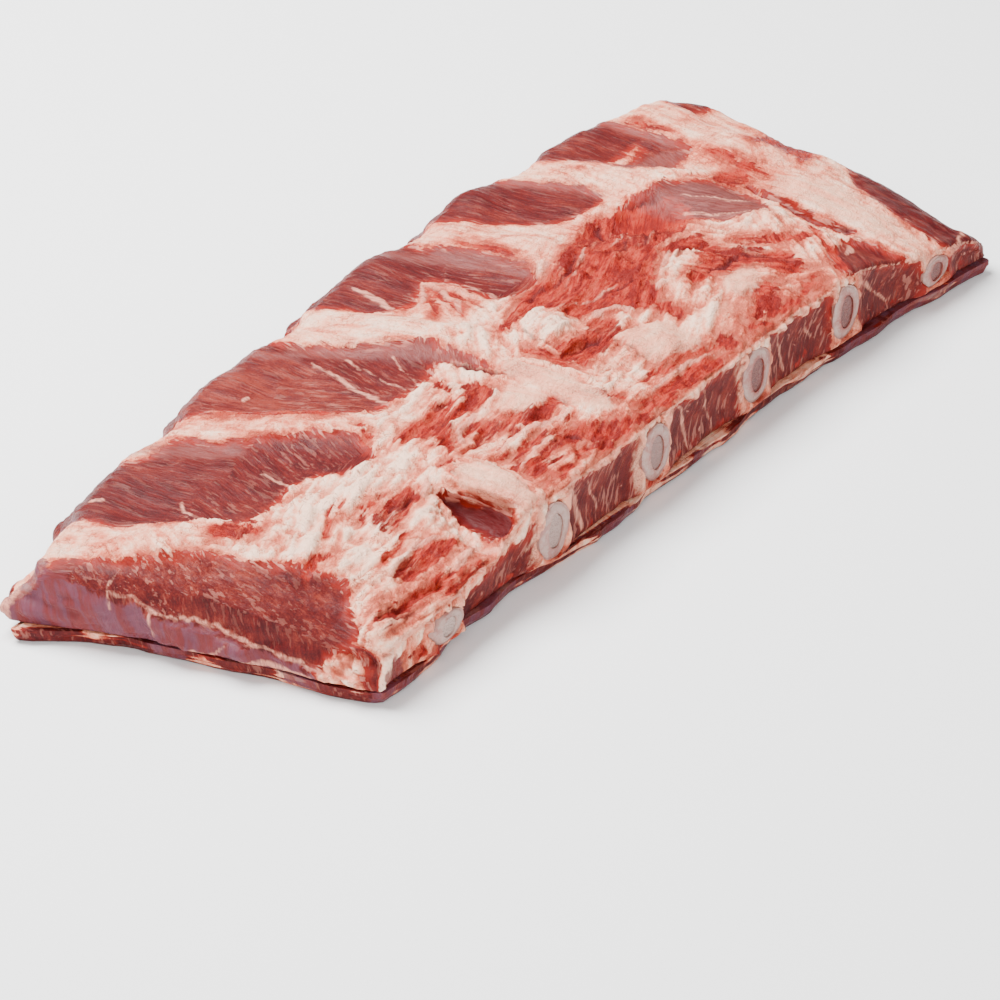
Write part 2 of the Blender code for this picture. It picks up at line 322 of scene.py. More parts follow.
@dataclass
class Layer:
    """Depth inside each tissue, tones and relief, for a set of points."""

    count: int
    depths: dict[Tissue, np.ndarray] = field(init=False)
    tones: dict[Tone, np.ndarray] = field(init=False)
    height: np.ndarray = field(init=False)

    def __post_init__(self) -> None:
        """Starts with bare pale fat everywhere."""
        self.depths = {tissue: np.full(self.count, -REACH) for tissue in Tissue}
        plain = {PINK: 0.43, DARK: 0.5, VEIN: 0.0, HOLLOW: 0.0}
        self.tones = {tone: np.full(self.count, value) for tone, value in plain.items()}
        self.height = np.zeros(self.count)

    def lay(self, shape: Patch | Stroke, points: np.ndarray) -> None:
        """Lays one patch or strand over what is there.

        Args:
            shape: The patch or strand.
            points: Where the points lie on the shape's plane.
        """
        outline = np.array(shape.outline, float)
        low, high = outline.min(axis=0) - REACH, outline.max(axis=0) + REACH
        near = np.flatnonzero(((points > low) & (points < high)).all(axis=1))
        depth = np.clip(shape.depth(points[near]), -REACH, REACH)
        own = self.depths[shape.tissue]
        own[near] = np.maximum(own[near], depth)
        if shape.tissue is FAT:
            for tissue in COVERED_BY_FAT:
                self.depths[tissue][near] = np.minimum(self.depths[tissue][near], -depth)
        self.height[near] += shape.rise * ease(-0.4, shape.edge, depth)

    def tint(self, spots: Sequence[Tint], points: np.ndarray) -> None:
        """Adds soft spots of tone."""
        for spot in spots:
            self.tones[spot.tone] += spot.value(points)

    def store_on(self, mesh: Mesh, origin: np.ndarray | slice = slice(None)) -> None:
        """Writes depths and tones to a mesh.

        Args:
            mesh: The mesh.
            origin: The layer's point that each vertex comes from.
        """
        for kind, values in (*self.depths.items(), *self.tones.items()):
            if kind is not FAT:
                store(mesh, kind.value, values[origin])


def blend(layers: Sequence[Layer], weights: Sequence[np.ndarray]) -> Layer:
    """Mixes the layers of several sides.

    Args:
        layers: One layer for each side.
        weights: How much each point belongs to that side; they add up to 1.

    Returns:
        One layer for the whole surface.
    """
    mixed = Layer(layers[0].count)
    for tissue in Tissue:
        mixed.depths[tissue] = sum(w * layer.depths[tissue] for w, layer in zip(weights, layers))
    for tone in Tone:
        mixed.tones[tone] = sum(w * layer.tones[tone] for w, layer in zip(weights, layers))
    mixed.height = sum(w * layer.height for w, layer in zip(weights, layers))
    return mixed


LEAN_WINDOWS = (
    Patch(LEAN, ((-215, 30), (-200, 46), (-192, 45), (-187, 36), (-183, 27), (-177, 15), (-171, 4),
        (-167, -6), (-165, -15), (-162, -22), (-157, -29), (-154, -37), (-152, -46), (-156, -50),
        (-161, -54), (-166, -62), (-185, -70), (-215, -20)), rise=-0.3),
    Patch(LEAN, ((-174, 60), (-171, 48), (-172, 40), (-169, 32), (-164, 24), (-158, 14), (-150, 5),
        (-140, 0), (-128, 0), (-118, 2), (-111, 0), (-104, -8), (-96, -12), (-89, -11), (-84, -5), (-83, 4),
        (-86, 14), (-91, 24), (-98, 34), (-104, 44), (-108, 54), (-112, 66), (-118, 90), (-150, 92),
        (-182, 80)), rise=-0.7),
    Patch(LEAN, ((-98, 66), (-92, 58), (-88, 48), (-84, 40), (-79, 30), (-76, 21), (-71, 12), (-65, 6),
        (-58, 8), (-50, 6), (-42, 5), (-32, 7), (-25, 9), (-21, -2), (-18, -10), (-15, 0), (-16, 12),
        (-14, 20), (-20, 30), (-26, 42), (-32, 54), (-36, 66), (-40, 92), (-70, 96), (-104, 84)),
        rise=-0.7),
    Patch(LEAN, ((-10, 90), (-7, 68), (-3, 56), (3, 48), (10, 43), (14, 34), (20, 28), (26, 22), (31, 17),
        (38, 15), (46, 16), (50, 22), (51, 34), (52, 44), (50, 54), (46, 66), (44, 92), (20, 96)),
        rise=-0.7),
    Patch(LEAN, ((64, 92), (66, 76), (70, 62), (76, 54), (82, 45), (87, 37), (94, 33), (104, 30), (113, 32),
        (116, 38), (114, 50), (110, 62), (106, 74), (104, 94), (84, 96)), rise=-0.7),
    Patch(LEAN, ((120, 90), (124, 68), (130, 54), (133, 44), (134, 34), (139, 27), (147, 24), (156, 25),
        (164, 26), (167, 36), (168, 50), (167, 62), (164, 90), (142, 94)), rise=-0.6),
    Patch(LEAN, ((186, -28), (179, -35), (173, -46), (170, -58), (168, -70), (168, -82), (172, -92),
        (208, -96), (210, -30), (196, -20)), rise=-0.5),
    Patch(LEAN, ((199, 62), (193, 56), (191, 49), (196, 42), (214, 42), (214, 62)), rise=-0.3),
    Patch(LEAN, ((95, 14), (104, 20), (114, 22), (126, 17), (135, 8), (140, 0), (143, -11), (142, -20),
        (136, -26), (128, -27), (120, -20), (114, -10), (106, 0), (97, 5)), rise=-0.5),
    Patch(LEAN, ((118, -62), (126, -60), (134, -58), (142, -54), (146, -60), (147, -72), (147, -86),
        (118, -82), (114, -72)), rise=-0.5),
)

FAT_OVER_LEAN = (
    Patch(FAT, ((2, 44), (9, 43), (19, 47), (27, 51), (30, 45), (29, 34), (27, 24), (24, 16), (10, 16),
        (0, 30)), rise=0.4),
    Patch(FAT, ((-128, 62), (-120, 58), (-112, 60), (-108, 72), (-112, 84), (-124, 82), (-130, 72)),
        rise=0.5),
    Patch(FAT, ((-170, -60), (-160, -63), (-150, -66), (-145, -71), (-150, -76), (-172, -74)), rise=1.2),
    Patch(FAT, ((64, 62), (70, 56), (76, 52), (72, 64), (66, 76), (60, 74)), rise=0.2),
    Patch(FAT, ((126, 46), (131, 44), (140, 47), (150, 46), (158, 47), (150, 43), (138, 42), (128, 40)),
        rise=0.3),
)

BLOOD_PATCHES = (
    Patch(BLOOD, ((5, 2), (12, 7), (24, 10), (38, 14), (50, 12), (60, 14), (68, 17), (78, 21), (88, 24),
        (95, 26), (101, 22), (110, 19), (118, 14), (122, 6), (118, -3), (110, -8), (98, -9), (88, -10),
        (78, -14), (70, -20), (63, -23), (57, -30), (52, -31), (47, -26), (41, -20), (34, -16), (29, -14),
        (27, -6), (26, 1), (15, 2)), rise=-0.7, edge=3.0),
    Patch(BLOOD, ((1, -24), (8, -23), (16, -25), (24, -21), (31, -19), (35, -25), (33, -31), (24, -33),
        (17, -36), (8, -35), (1, -35)), rise=-0.8),
    Patch(BLOOD, ((84, -11), (96, -12), (102, -17), (101, -24), (99, -28), (104, -34), (108, -42),
        (111, -49), (109, -57), (104, -60), (99, -53), (100, -46), (96, -41), (89, -40), (83, -36),
        (74, -35), (72, -31), (82, -28), (90, -26), (91, -20)), rise=-0.8),
    Patch(BLOOD, ((72, -61), (80, -56), (88, -52), (93, -53), (89, -60), (85, -65), (76, -65)), rise=-0.5),
    Patch(BLOOD, ((142, 4), (150, 6), (157, 3), (155, -4), (149, -7), (143, -4)), rise=-0.4),
    Patch(BLOOD, ((-78, -12), (-70, -10), (-58, -12), (-48, -14), (-39, -12), (-32, -9), (-29, -14),
        (-33, -21), (-42, -20), (-52, -19), (-60, -22), (-66, -27), (-73, -33), (-71, -26), (-66, -20),
        (-75, -17)), rise=-0.7),
    Patch(BLOOD, ((-42, -36), (-36, -36), (-28, -37), (-21, -37), (-20, -43), (-26, -43), (-33, -45),
        (-42, -42)), rise=-0.6),
    Patch(BLOOD, ((-33, -58), (-28, -55), (-22, -60), (-18, -66), (-21, -70), (-31, -67)), rise=-0.8),
    Patch(BLOOD, ((-68, -57), (-60, -56), (-50, -55), (-41, -53), (-33, -54), (-31, -58), (-38, -60),
        (-50, -59), (-62, -60)), rise=-0.6),
    Patch(BLOOD, ((-124, -39), (-120, -35), (-113, -31), (-104, -29), (-97, -31), (-97, -36), (-104, -38),
        (-113, -40)), rise=-0.9),
    Patch(BLOOD, ((-137, -58), (-134, -53), (-128, -51), (-118, -53), (-110, -56), (-108, -60), (-118, -61),
        (-128, -60)), rise=-0.4),
    Patch(BLOOD, ((-2, -67), (8, -64), (20, -62), (30, -63), (37, -67), (36, -71), (20, -70), (0, -71)),
        rise=-0.8),
    Patch(BLOOD, ((47, -61), (51, -62), (50, -69), (45, -69), (44, -64)), rise=-0.4),
    Patch(BLOOD, ((178, 10), (183, 2), (180, -6), (176, -14), (184, -14), (192, -9), (206, -8), (206, 12)),
        rise=-0.4),
    Patch(BLOOD, ((-160, 6), (-152, 4), (-147, 0), (-148, -8), (-154, -7), (-160, -2)), rise=-0.2),
)

BLOOD_STRANDS = (
    Stroke(BLOOD, ((-61, -13), (-55, -11), (-49, -9.5), (-43, -11)), 2.0, rise=-0.9),
    Stroke(BLOOD, ((-73, -37), (-64, -35), (-54, -31), (-46, -32), (-38, -36)), 1.7, rise=-0.9),
    Stroke(BLOOD, ((-60, -38), (-53, -35), (-45, -36), (-40, -39)), 1.0, rise=-0.6),
    Stroke(BLOOD, ((-68, -54), (-58, -50.5), (-48, -49.5), (-38, -51), (-28, -50)), 1.6, rise=-0.8),
    Stroke(BLOOD, ((-67, -62.5), (-59, -61), (-51, -62)), 1.7, rise=-0.7),
    Stroke(BLOOD, ((-62, -70), (-56, -67), (-50, -69)), 1.8, rise=-0.6),
    Stroke(BLOOD, ((-48, -66), (-41, -63), (-34, -66), (-30, -70)), 1.8, rise=-0.8),
    Stroke(BLOOD, ((-82, -32), (-80, -37), (-83, -41)), 1.5, rise=-0.4),
    Stroke(BLOOD, ((-123, -30), (-117, -27.5), (-110, -26.5), (-103, -27)), 1.4, rise=-0.8),
    Stroke(BLOOD, ((-121, -34), (-117, -31.5), (-113, -31)), 1.4, rise=-0.7),
    Stroke(BLOOD, ((-162, -63), (-153, -65), (-142, -63.5), (-131, -66), (-120, -65)), 2.2, rise=-1.4),
    Stroke(BLOOD, ((-132, -70), (-122, -70), (-112, -71), (-104, -72)), 1.6, rise=-0.9),
    Stroke(BLOOD, ((-16, -16), (-15, -21), (-13, -27)), 1.3, rise=-0.3),
    Stroke(BLOOD, ((-16, -42), (-12, -49), (-8, -58)), 1.8, rise=-0.3),
    Stroke(BLOOD, ((-3, -12), (-2, -22), (-3, -34)), 1.4, rise=-0.6),
    Stroke(BLOOD, ((-19, -67), (-12, -70), (-4, -66), (4, -68)), 2.2, rise=-0.7),
    Stroke(BLOOD, ((8, -57), (15, -56), (24, -58)), 1.2, rise=-0.4),
    Stroke(BLOOD, ((54, -30), (53, -36), (52, -44)), 2.4, rise=-0.6),
    Stroke(BLOOD, ((60, -66), (64, -68), (70, -69)), 1.6, rise=-0.4),
    Stroke(BLOOD, ((108, -28), (116, -40), (127, -50), (132, -46)), 2.4, rise=-0.4),
    Stroke(BLOOD, ((128, -52), (122, -62), (115, -72)), 1.8, rise=-0.4),
    Stroke(BLOOD, ((166, 24), (163, 10), (160, -6), (158, -16)), 1.3, rise=-0.3),
    Stroke(BLOOD, ((-146, 5), (-144, -1), (-143, -8)), 1.0, rise=-0.4),
    Stroke(BLOOD, ((-76, 5), (-80, 0), (-84, -4)), 1.5, rise=-0.3),
    Stroke(BLOOD, ((-36, 1), (-38, -4), (-40, -8)), 1.4, rise=-0.3),
    Stroke(BLOOD, ((53, 54), (54, 42), (52, 30)), 1.6, rise=-0.2),
    Stroke(BLOOD, ((170, 60), (170, 50), (169, 40)), 1.4, rise=-0.2),
    Stroke(BLOOD, ((-160, -34), (-152, -32), (-143, -34)), 1.8, rise=-0.3),
    Stroke(BLOOD, ((-94, 60), (-86, 42), (-78, 24), (-68, 10), (-56, 9)), 1.4, 0.8, rise=-0.2),
    Stroke(BLOOD, ((24, 48), (17, 41), (9, 34), (3, 30)), 1.3, rise=-0.5),
    Stroke(BLOOD, ((25, 46), (20, 38), (15, 29), (11, 22)), 1.4, rise=-0.5),
    Stroke(BLOOD, ((26, 45), (24, 37), (21, 28), (18, 20)), 1.1, rise=-0.5),
    Stroke(BLOOD, ((20, 50), (12, 46), (4, 44)), 0.9, rise=-0.4),
    Stroke(BLOOD, ((-54, -41), (-46, -39), (-36, -41), (-28, -45)), 1.3, rise=-0.7),
    Stroke(BLOOD, ((-70, -46), (-60, -44), (-52, -41)), 1.1, rise=-0.7),
    Stroke(BLOOD, ((-74, -24), (-66, -27), (-58, -27), (-48, -27)), 1.2, rise=-0.8),
    Stroke(BLOOD, ((-112, -48), (-120, -46), (-130, -47), (-138, -50)), 1.2, rise=-0.6),
    Stroke(BLOOD, ((-116, -20), (-126, -21), (-136, -25)), 0.9, rise=-0.5),
    Stroke(BLOOD, ((18, -64), (28, -60), (40, -62), (50, -66)), 1.5, rise=-0.5),
    Stroke(BLOOD, ((66, -62), (78, -66), (92, -68), (104, -66)), 1.6, rise=-0.4),
)

VEILS = (
    Stroke(FILM, ((-126, 82), (-122, 66), (-116, 54), (-110, 44), (-104, 34)), 4.5, 1.0),
    Stroke(FILM, ((-50, 84), (-46, 66), (-38, 56), (-31, 46), (-26, 36), (-22, 26), (-20, 12), (-19, -4)),
        3.2, 1.2),
    Stroke(FILM, ((34, 84), (36, 68), (42, 57), (46, 46), (48, 36), (49, 20)), 3.4, 1.6),
    Stroke(FILM, ((100, 84), (104, 70), (110, 58), (113, 46), (115, 34)), 2.6, 1.2),
    Stroke(FILM, ((164, 84), (166, 62), (166, 48), (164, 30)), 2.2, 1.0),
    Patch(FILM, ((114, 14), (122, 14), (131, 8), (138, 0), (142, -11), (141, -20), (136, -25), (130, -28),
        (124, -25), (119, -18), (115, -10), (113, 0)), rise=-0.1),
    Patch(FILM, ((132, 44), (140, 41), (150, 40), (160, 36), (162, 28), (150, 24), (138, 26), (133, 34))),
    Stroke(LEAN, ((150, -6), (147, -16), (146, -30), (146, -44), (148, -56)), 1.9, 0.6, rise=-1.6,
        edge=1.6),
)

PALE_STRANDS = (
    Stroke(SINEW, ((9, 70), (8, 60), (4, 48)), 1.4, rise=0.6),
    Stroke(SINEW, ((27, 52), (24, 42), (18, 32), (12, 24)), 1.1, rise=0.6),
    Stroke(SINEW, ((27, 52), (20, 46), (12, 42), (4, 42)), 0.9, rise=0.5),
    Stroke(SINEW, ((27, 50), (27, 40), (25, 30), (22, 22)), 0.9, rise=0.5),
    Stroke(SINEW, ((28, 50), (31, 42), (32, 32), (30, 22)), 0.7, rise=0.4),
    Stroke(SINEW, ((-33, 42), (-37, 30), (-41, 18), (-44, 8)), 0.3, rise=0.2),
    Stroke(SINEW, ((-26, 28), (-32, 18), (-38, 9)), 0.25, rise=0.2),
    Stroke(SINEW, ((-42, 50), (-47, 36), (-51, 22), (-54, 9)), 0.8, 0.5, rise=0.3),
    Stroke(SINEW, ((-114, 18), (-116, 10), (-118, 2)), 0.6, rise=0.4),
    Stroke(SINEW, ((-156.4, 57.6), (-155, 55.2)), 1.3, 1.3, rise=0.5),
    Stroke(SINEW, ((-148, 22), (-146, 27), (-143, 32)), 0.7, 0.3, rise=0.4),
    Stroke(SINEW, ((-97, -37), (-94, -35.5), (-90, -33)), 1.3, 0.8, rise=1.7),
    Stroke(SINEW, ((49, 16), (51, 17), (53, 15.5)), 2.0, 1.2, rise=1.4),
    Stroke(SINEW, ((60, -27.5), (63, -26.5), (66, -27)), 1.3, 0.6, rise=1.0),
    Stroke(SINEW, ((-77, 54), (-76, 54.5), (-75, 54)), 1.0, 0.8, rise=0.6),
    Stroke(SINEW, ((117, 0), (119, -10), (124, -19), (130, -24)), 0.6, rise=0.4),
    Stroke(SINEW, ((124, 6), (127, -4), (130, -12), (136, -18)), 0.5, rise=0.4),
    Stroke(SINEW, ((72, -22), (80, -17), (88, -14)), 0.6, rise=0.6),
    Stroke(SINEW, ((44, 2), (54, 5), (64, 7), (72, 12)), 0.35, 0.2, rise=0.4),
    Stroke(SINEW, ((78, 6), (88, 8), (98, 12)), 0.35, 0.2, rise=0.4),
    Stroke(SINEW, ((36, -8), (46, -11), (56, -12)), 0.4, 0.2, rise=0.4),
    Stroke(SINEW, ((-66, -30), (-58, -25), (-48, -23), (-40, -26)), 1.2, 0.6, rise=0.9),
    Stroke(SINEW, ((-62, -45), (-50, -43), (-38, -46), (-28, -48)), 1.3, 0.6, rise=0.9),
    Stroke(SINEW, ((-66, -56), (-54, -53), (-42, -52)), 0.8, 0.4, rise=0.7),
    Stroke(SINEW, ((-110, -55), (-122, -51), (-134, -52), (-142, -56)), 0.9, 0.4, rise=0.8),
    Stroke(SINEW, ((-96, -55), (-99, -60), (-108, -64), (-118, -66)), 1.0, 0.5, rise=0.9),
    Stroke(SINEW, ((-103, -64), (-99, -69), (-97, -72)), 1.6, 1.0, rise=0.4),
    Stroke(SINEW, ((2, -63), (14, -61), (28, -61.5), (38, -66)), 0.8, 0.4, rise=0.8),
    Stroke(SINEW, ((34, -20), (38, -17), (43, -21), (46, -26)), 1.6, 1.0, rise=0.8),
    Stroke(SINEW, ((127, -66), (134, -62), (141, -58)), 1.2, 0.5, rise=0.4),
    # This pale strand at the far corner is a painted highlight.
    Stroke(SINEW, ((176, -84), (184, -80), (191, -74)), 0.5, 0.3, rise=0.3),
)

BARE_PATCHES = (
    Patch(BARE, ((-85, -42), (-80, -44), (-77, -54), (-77, -66), (-80, -72), (-86, -70), (-87, -58)),
        rise=0.5),
    Patch(BARE, ((22, -38), (30, -34), (40, -36), (45, -44), (44, -54), (38, -58), (28, -55), (21, -50)),
        rise=0.5),
    Patch(BARE, ((-19, -16), (-12, -12), (-9, -26), (-9, -44), (-13, -58), (-19, -54), (-20, -34)),
        rise=0.3),
    Patch(BARE, ((152, -20), (160, -14), (166, -26), (166, -46), (162, -66), (154, -66), (151, -44)),
        rise=0.2),
    Patch(BARE, ((80, -42), (90, -41), (95, -46), (90, -52), (80, -52), (76, -47)), rise=0.3),
    Patch(BARE, ((-30, -22), (-22, -22), (-21, -34), (-30, -36), (-38, -32), (-38, -25)), rise=0.2),
)

# Grooves and a hollow: dark clotted red, which along the grooves is also painted shade.
CREASES = (
    Stroke(CREASE, ((9, 1), (6, -7), (3.5, -15), (3, -21)), 0.7, rise=-1.8, edge=1.4),
    Stroke(CREASE, ((-23, 5), (-22, -3), (-20, -10), (-19, -17)), 1.6, rise=-1.4, edge=1.6),
    Stroke(CREASE, ((149, -7), (147, -16), (145.5, -30), (145.5, -44), (147, -54), (146, -64)), 0.6,
        rise=-1.2),
    Patch(LEAN, ((-91, -37.5), (-87.8, -44), (-86, -54), (-86.5, -64), (-90, -70.5), (-95.5, -68.5),
        (-96, -61), (-94.5, -52), (-92.8, -44)), rise=-5.0, edge=2.0),
    Patch(CREASE, ((-91.3, -38.5), (-89.4, -44), (-88.3, -54), (-88.8, -63), (-91, -69.5), (-95, -68.5),
        (-95.5, -61), (-94, -52), (-92.4, -44))),
    Stroke(CREASE, ((2, -26), (8, -27), (16, -28), (24, -26)), 0.7, rise=-0.9),
    Stroke(CREASE, ((44, 8), (52, 7), (60, 9), (68, 12)), 1.1, rise=-1.2),
    Stroke(CREASE, ((46, -12), (54, -14), (62, -18)), 0.9, rise=-1.1),
    Stroke(CREASE, ((74, 0), (82, 2), (88, 6)), 1.0, rise=-1.1),
    Stroke(CREASE, ((84, -33), (92, -35), (100, -36)), 1.8, rise=-1.2),
    Stroke(CREASE, ((84, -18), (92, -19), (99, -22)), 1.3, rise=-1.0),
    Stroke(CREASE, ((30, 8), (37, 10), (43, 9)), 1.2, rise=-1.0),
    Stroke(CREASE, ((12, -28), (18, -29), (25, -27)), 1.6, rise=-1.2),
    Stroke(CREASE, ((-110, -36), (-104, -34), (-99, -34)), 1.2, rise=-1.0),
    Stroke(CREASE, ((-62, -34), (-54, -32), (-47, -34)), 0.6, rise=-1.0),
    Stroke(CREASE, ((-118, -35), (-111, -33), (-104, -33)), 0.8, rise=-1.0),
    Stroke(CREASE, ((-60, -18), (-50, -16), (-42, -17)), 0.6, rise=-0.9),
    Stroke(CREASE, ((88, 15), (92, 20), (97, 22)), 1.6, rise=-0.9),
    Stroke(CREASE, ((88, -4), (93, 0), (99, 3)), 1.5, rise=-0.9),
    Stroke(CREASE, ((96, -31), (102, -37), (105, -45), (107, -54)), 1.1, rise=-0.8),
    Stroke(CREASE, ((20, -36), (21, -43), (20, -50)), 0.5, rise=-1.0),
    Stroke(CREASE, ((-52, -9.5), (-48, -9.5), (-44, -11)), 1.1, rise=-0.5),
    Stroke(CREASE, ((-37, -55), (-35, -57), (-34, -60)), 1.1, rise=-0.5),
    Stroke(CREASE, ((-160, -65), (-152, -66.5), (-143, -68)), 0.8, rise=-0.9),
    Stroke(CREASE, ((147, -49), (148, -52), (147, -55)), 1.5, rise=-0.4),
)

TOP_TINTS = (
    Tint(DARK, (128, -6), (18, 16), 0.35),
    Tint(VEIN, (-182, 0), (14, 56), 0.32),
    Tint(VEIN, (-150, 16), (24, 12), 0.25),
    Tint(VEIN, (-96, 26), (10, 34), 0.2, -20),
    Tint(VEIN, (-66, 24), (20, 20), 0.3),
    Tint(VEIN, (24, 36), (20, 20), 0.3),
    Tint(DARK, (-150, 40), (26, 30), 0.22),
    Tint(DARK, (-102, 12), (20, 24), 0.3),
    Tint(DARK, (-72, 46), (22, 34), -0.32),
    Tint(DARK, (-40, 28), (10, 26), 0.22),
    Tint(DARK, (28, 50), (26, 26), 0.16),
    Tint(DARK, (92, 56), (24, 28), 0.12),
    Tint(DARK, (148, 58), (22, 20), 0.05),
    Tint(DARK, (-178, -34), (14, 30), 0.04),
    Tint(DARK, (-172, 2), (8, 26), -0.35, 10),
    Tint(DARK, (182, -60), (14, 28), 0.3),
    Tint(PINK, (-182, 30), (12, 26), 0.08, -60),
    Tint(PINK, (-92, 40), (12, 36), 0.22, -75),
    Tint(PINK, (-12, 45), (14, 30), -0.12),
    Tint(PINK, (60, 50), (10, 30), 0.06),
    Tint(PINK, (-120, -15), (38, 16), -0.3),
    Tint(PINK, (-60, -2), (22, 8), -0.3),
    Tint(PINK, (-125, -45), (34, 14), -0.28),
    Tint(PINK, (18, -10), (14, 10), -0.3),
    Tint(PINK, (8, 16), (16, 12), -0.2),
    Tint(PINK, (-75, -60), (10, 14), 0.2),
    Tint(PINK, (60, -50), (40, 22), 0.14),
    Tint(PINK, (150, 14), (22, 14), 0.08),
    Tint(PINK, (172, 10), (14, 60), -0.02),
    Tint(PINK, (188, 30), (12, 30), 0.16),
    Tint(PINK, (-10, -40), (10, 30), -0.08),
    Tint(PINK, (15, -68), (60, 9), 0.3),
    Tint(PINK, (105, -68), (45, 9), 0.26),
    Tint(PINK, (-62, -69), (34, 9), 0.26),
    Tint(PINK, (-130, -68), (28, 8), 0.2),
    Tint(PINK, (-60, -40), (34, 26), 0.02),
    Tint(PINK, (60, -8), (50, 26), 0.1),
)

TOP_BUMPS = (
    Bump((-140, 64), (18, 16), 1.6),
    Bump((-68, 70), (16, 14), 2.6),
    Bump((26, 72), (14, 14), 2.8),
    Bump((88, 76), (13, 13), 2.8),
    Bump((146, 68), (14, 14), 1.8),
    Bump((-102, 68), (8, 16), -1.6),
    Bump((-24, 72), (8, 16), -1.8),
    Bump((56, 76), (8, 16), -1.8),
    Bump((118, 74), (8, 14), -1.8),
    Bump((17, -9), (12, 8), 1.6, 25),
    Bump((34, -46), (14, 10), 1.2),
    Bump((-81, -57), (6, 15), 1.5),
    Bump((-118, -14), (34, 9), 0.9, -4),
    Bump((-60, -2), (20, 7), 1.1),
    Bump((-118, -46), (30, 7), 0.9),
    Bump((120, -32), (16, 10), 1.0),
    Bump((85, -46), (14, 8), 0.8),
    Bump((-14, -36), (6, 26), 0.8),
)

SAWN_SHAPES = (
    Stroke(BARE, ((-17, 31), (-18, 20), (-17, 8)), 1.8, 1.2, rise=0.2),
    Stroke(BARE, ((-1, 31), (0, 20), (-1, 10)), 1.4, 0.8, rise=0.2),
    Stroke(BARE, ((-62, 30), (-61, 20), (-62, 9)), 1.5, 0.9, rise=0.2),
    Stroke(BARE, ((-80, 29), (-81, 18), (-80, 9)), 1.4, 0.8, rise=0.2),
    Stroke(BARE, ((46, 32), (46, 20), (47, 9)), 1.2, 0.8, rise=0.2),
    Patch(FAT, ((-175, 45), (-175, 4), (-150, 3), (-141, 6), (-141, 19), (-120, 17), (-104, 18), (-92, 21),
        (-84, 24), (-82, 45))),
    Patch(MAUVE, ((-167, 6), (-156, 5), (-154, 11), (-160, 16), (-166, 13))),
    Stroke(BLOOD, ((-158, 27), (-140, 24), (-124, 25), (-104, 27)), 1.8, 0.6),
    Stroke(BLOOD, ((-152, 9), (-146, 10), (-142, 8)), 1.8, 0.6),
    Stroke(SINEW, ((-57, 27), (-52, 18), (-50, 8)), 1.2, 0.5),
    Stroke(SINEW, ((-47, 26), (-42, 17), (-40, 10)), 0.5),
    Stroke(SINEW, ((8, 28), (14, 19), (16, 8)), 0.8, 0.4),
    Stroke(SINEW, ((22, 30), (28, 21), (30, 10)), 0.5),
    Stroke(SINEW, ((70, 28), (76, 18), (78, 8)), 0.6),
    Stroke(SINEW, ((90, 26), (92, 18), (98, 12)), 0.5),
    Stroke(SINEW, ((122, 26), (132, 18), (140, 9)), 0.6),
)

FRONT_SHAPES = (
    Patch(MAUVE, ((-50, 8), (-38, 10), (-28, 12), (-16, 15), (-4, 16), (8, 17), (20, 19), (30, 22),
        (44, 25), (56, 27), (66, 20), (66, 4), (40, 3), (0, 3), (-50, 3))),
    Patch(FAT, ((-66, 7), (-61, 16), (-54, 15), (-51, 10), (-55, 5))),
    Stroke(SINEW, ((-52, 9.5), (-40, 11), (-30, 13), (-20, 15), (-10, 17), (0, 17.5), (10, 19), (22, 22)),
        0.5, 0.35, rise=0.6),
    Stroke(SINEW, ((24, 28), (24, 24), (23, 20), (22, 17)), 0.3, 0.2, rise=0.3),
    Stroke(SINEW, ((9, 18), (8, 13), (6, 8)), 0.3, 0.2, rise=0.4),
    Patch(FILM, ((47, 2), (52, 12), (57, 18), (62, 20), (66, 10), (64, 0), (54, 0))),
    Stroke(SINEW, ((56, 15), (59, 10), (58, 5)), 2.4, 1.4, rise=0.8),
    Stroke(SINEW, ((-48, 7), (-34, 7.5), (-22, 6.5)), 0.9, 0.4, rise=0.4),
    Stroke(SINEW, ((-18, 12), (-12, 8), (-4, 7)), 0.5, 0.3, rise=0.3),
)


@dataclass(frozen=True)
class Grain:
    """An area whose fibres run one way: its middle, its reach and the fibres' angle from +X in degrees."""

    centre: tuple[float, float]
    reach: float
    angle: float
    bend: float = 0.0


TOP_GRAINS = (
    Grain((-180, 15), 14, 62),
    Grain((-176, -30), 18, 82),
    Grain((-150, 40), 20, 92),
    Grain((-122, 50), 16, 104),
    Grain((-138, 16), 16, 70),
    Grain((-158, 22), 10, 58),
    Grain((-102, 12), 17, 66),
    Grain((-178, 45), 9, 112),
    Grain((-160, 8), 9, 118),
    Grain((-97, 45), 9, 112),
    Grain((-82, 62), 16, 98),
    Grain((-66, 26), 18, 108),
    Grain((-38, 26), 13, 71),
    Grain((-38, 58), 12, 84),
    Grain((-16, 40), 12, 104),
    Grain((22, 62), 16, 96),
    Grain((18, 30), 12, 66),
    Grain((42, 36), 12, 100),
    Grain((60, 45), 13, 90),
    Grain((92, 55), 18, 98),
    Grain((124, 44), 11, 84),
    Grain((148, 56), 16, 92),
    Grain((150, 30), 12, 60),
    Grain((176, 30), 16, 80),
    Grain((160, -40), 16, 92),
    Grain((182, -60), 16, 96),
    Grain((190, 0), 12, 40),
    Grain((40, 0), 18, 6),
    Grain((70, 4), 18, 18),
    Grain((100, 8), 14, 30),
    Grain((124, -10), 14, 112, 0.02),
    Grain((20, -30), 16, 4),
    Grain((60, -45), 20, 24),
    Grain((100, -40), 16, 118),
    Grain((128, -44), 16, 60),
    Grain((20, -60), 18, 2),
    Grain((-12, -30), 12, 98),
    Grain((-60, -16), 16, 8),
    Grain((-50, -40), 18, 4, -0.012),
    Grain((-45, -62), 18, 6, -0.01),
    Grain((-80, -56), 10, 88),
    Grain((-110, -14), 18, 14),
    Grain((-145, -20), 16, 24),
    Grain((-125, -48), 20, 4, -0.008),
    Grain((-140, -66), 14, 172),
    Grain((-10, 6), 14, 40),
)

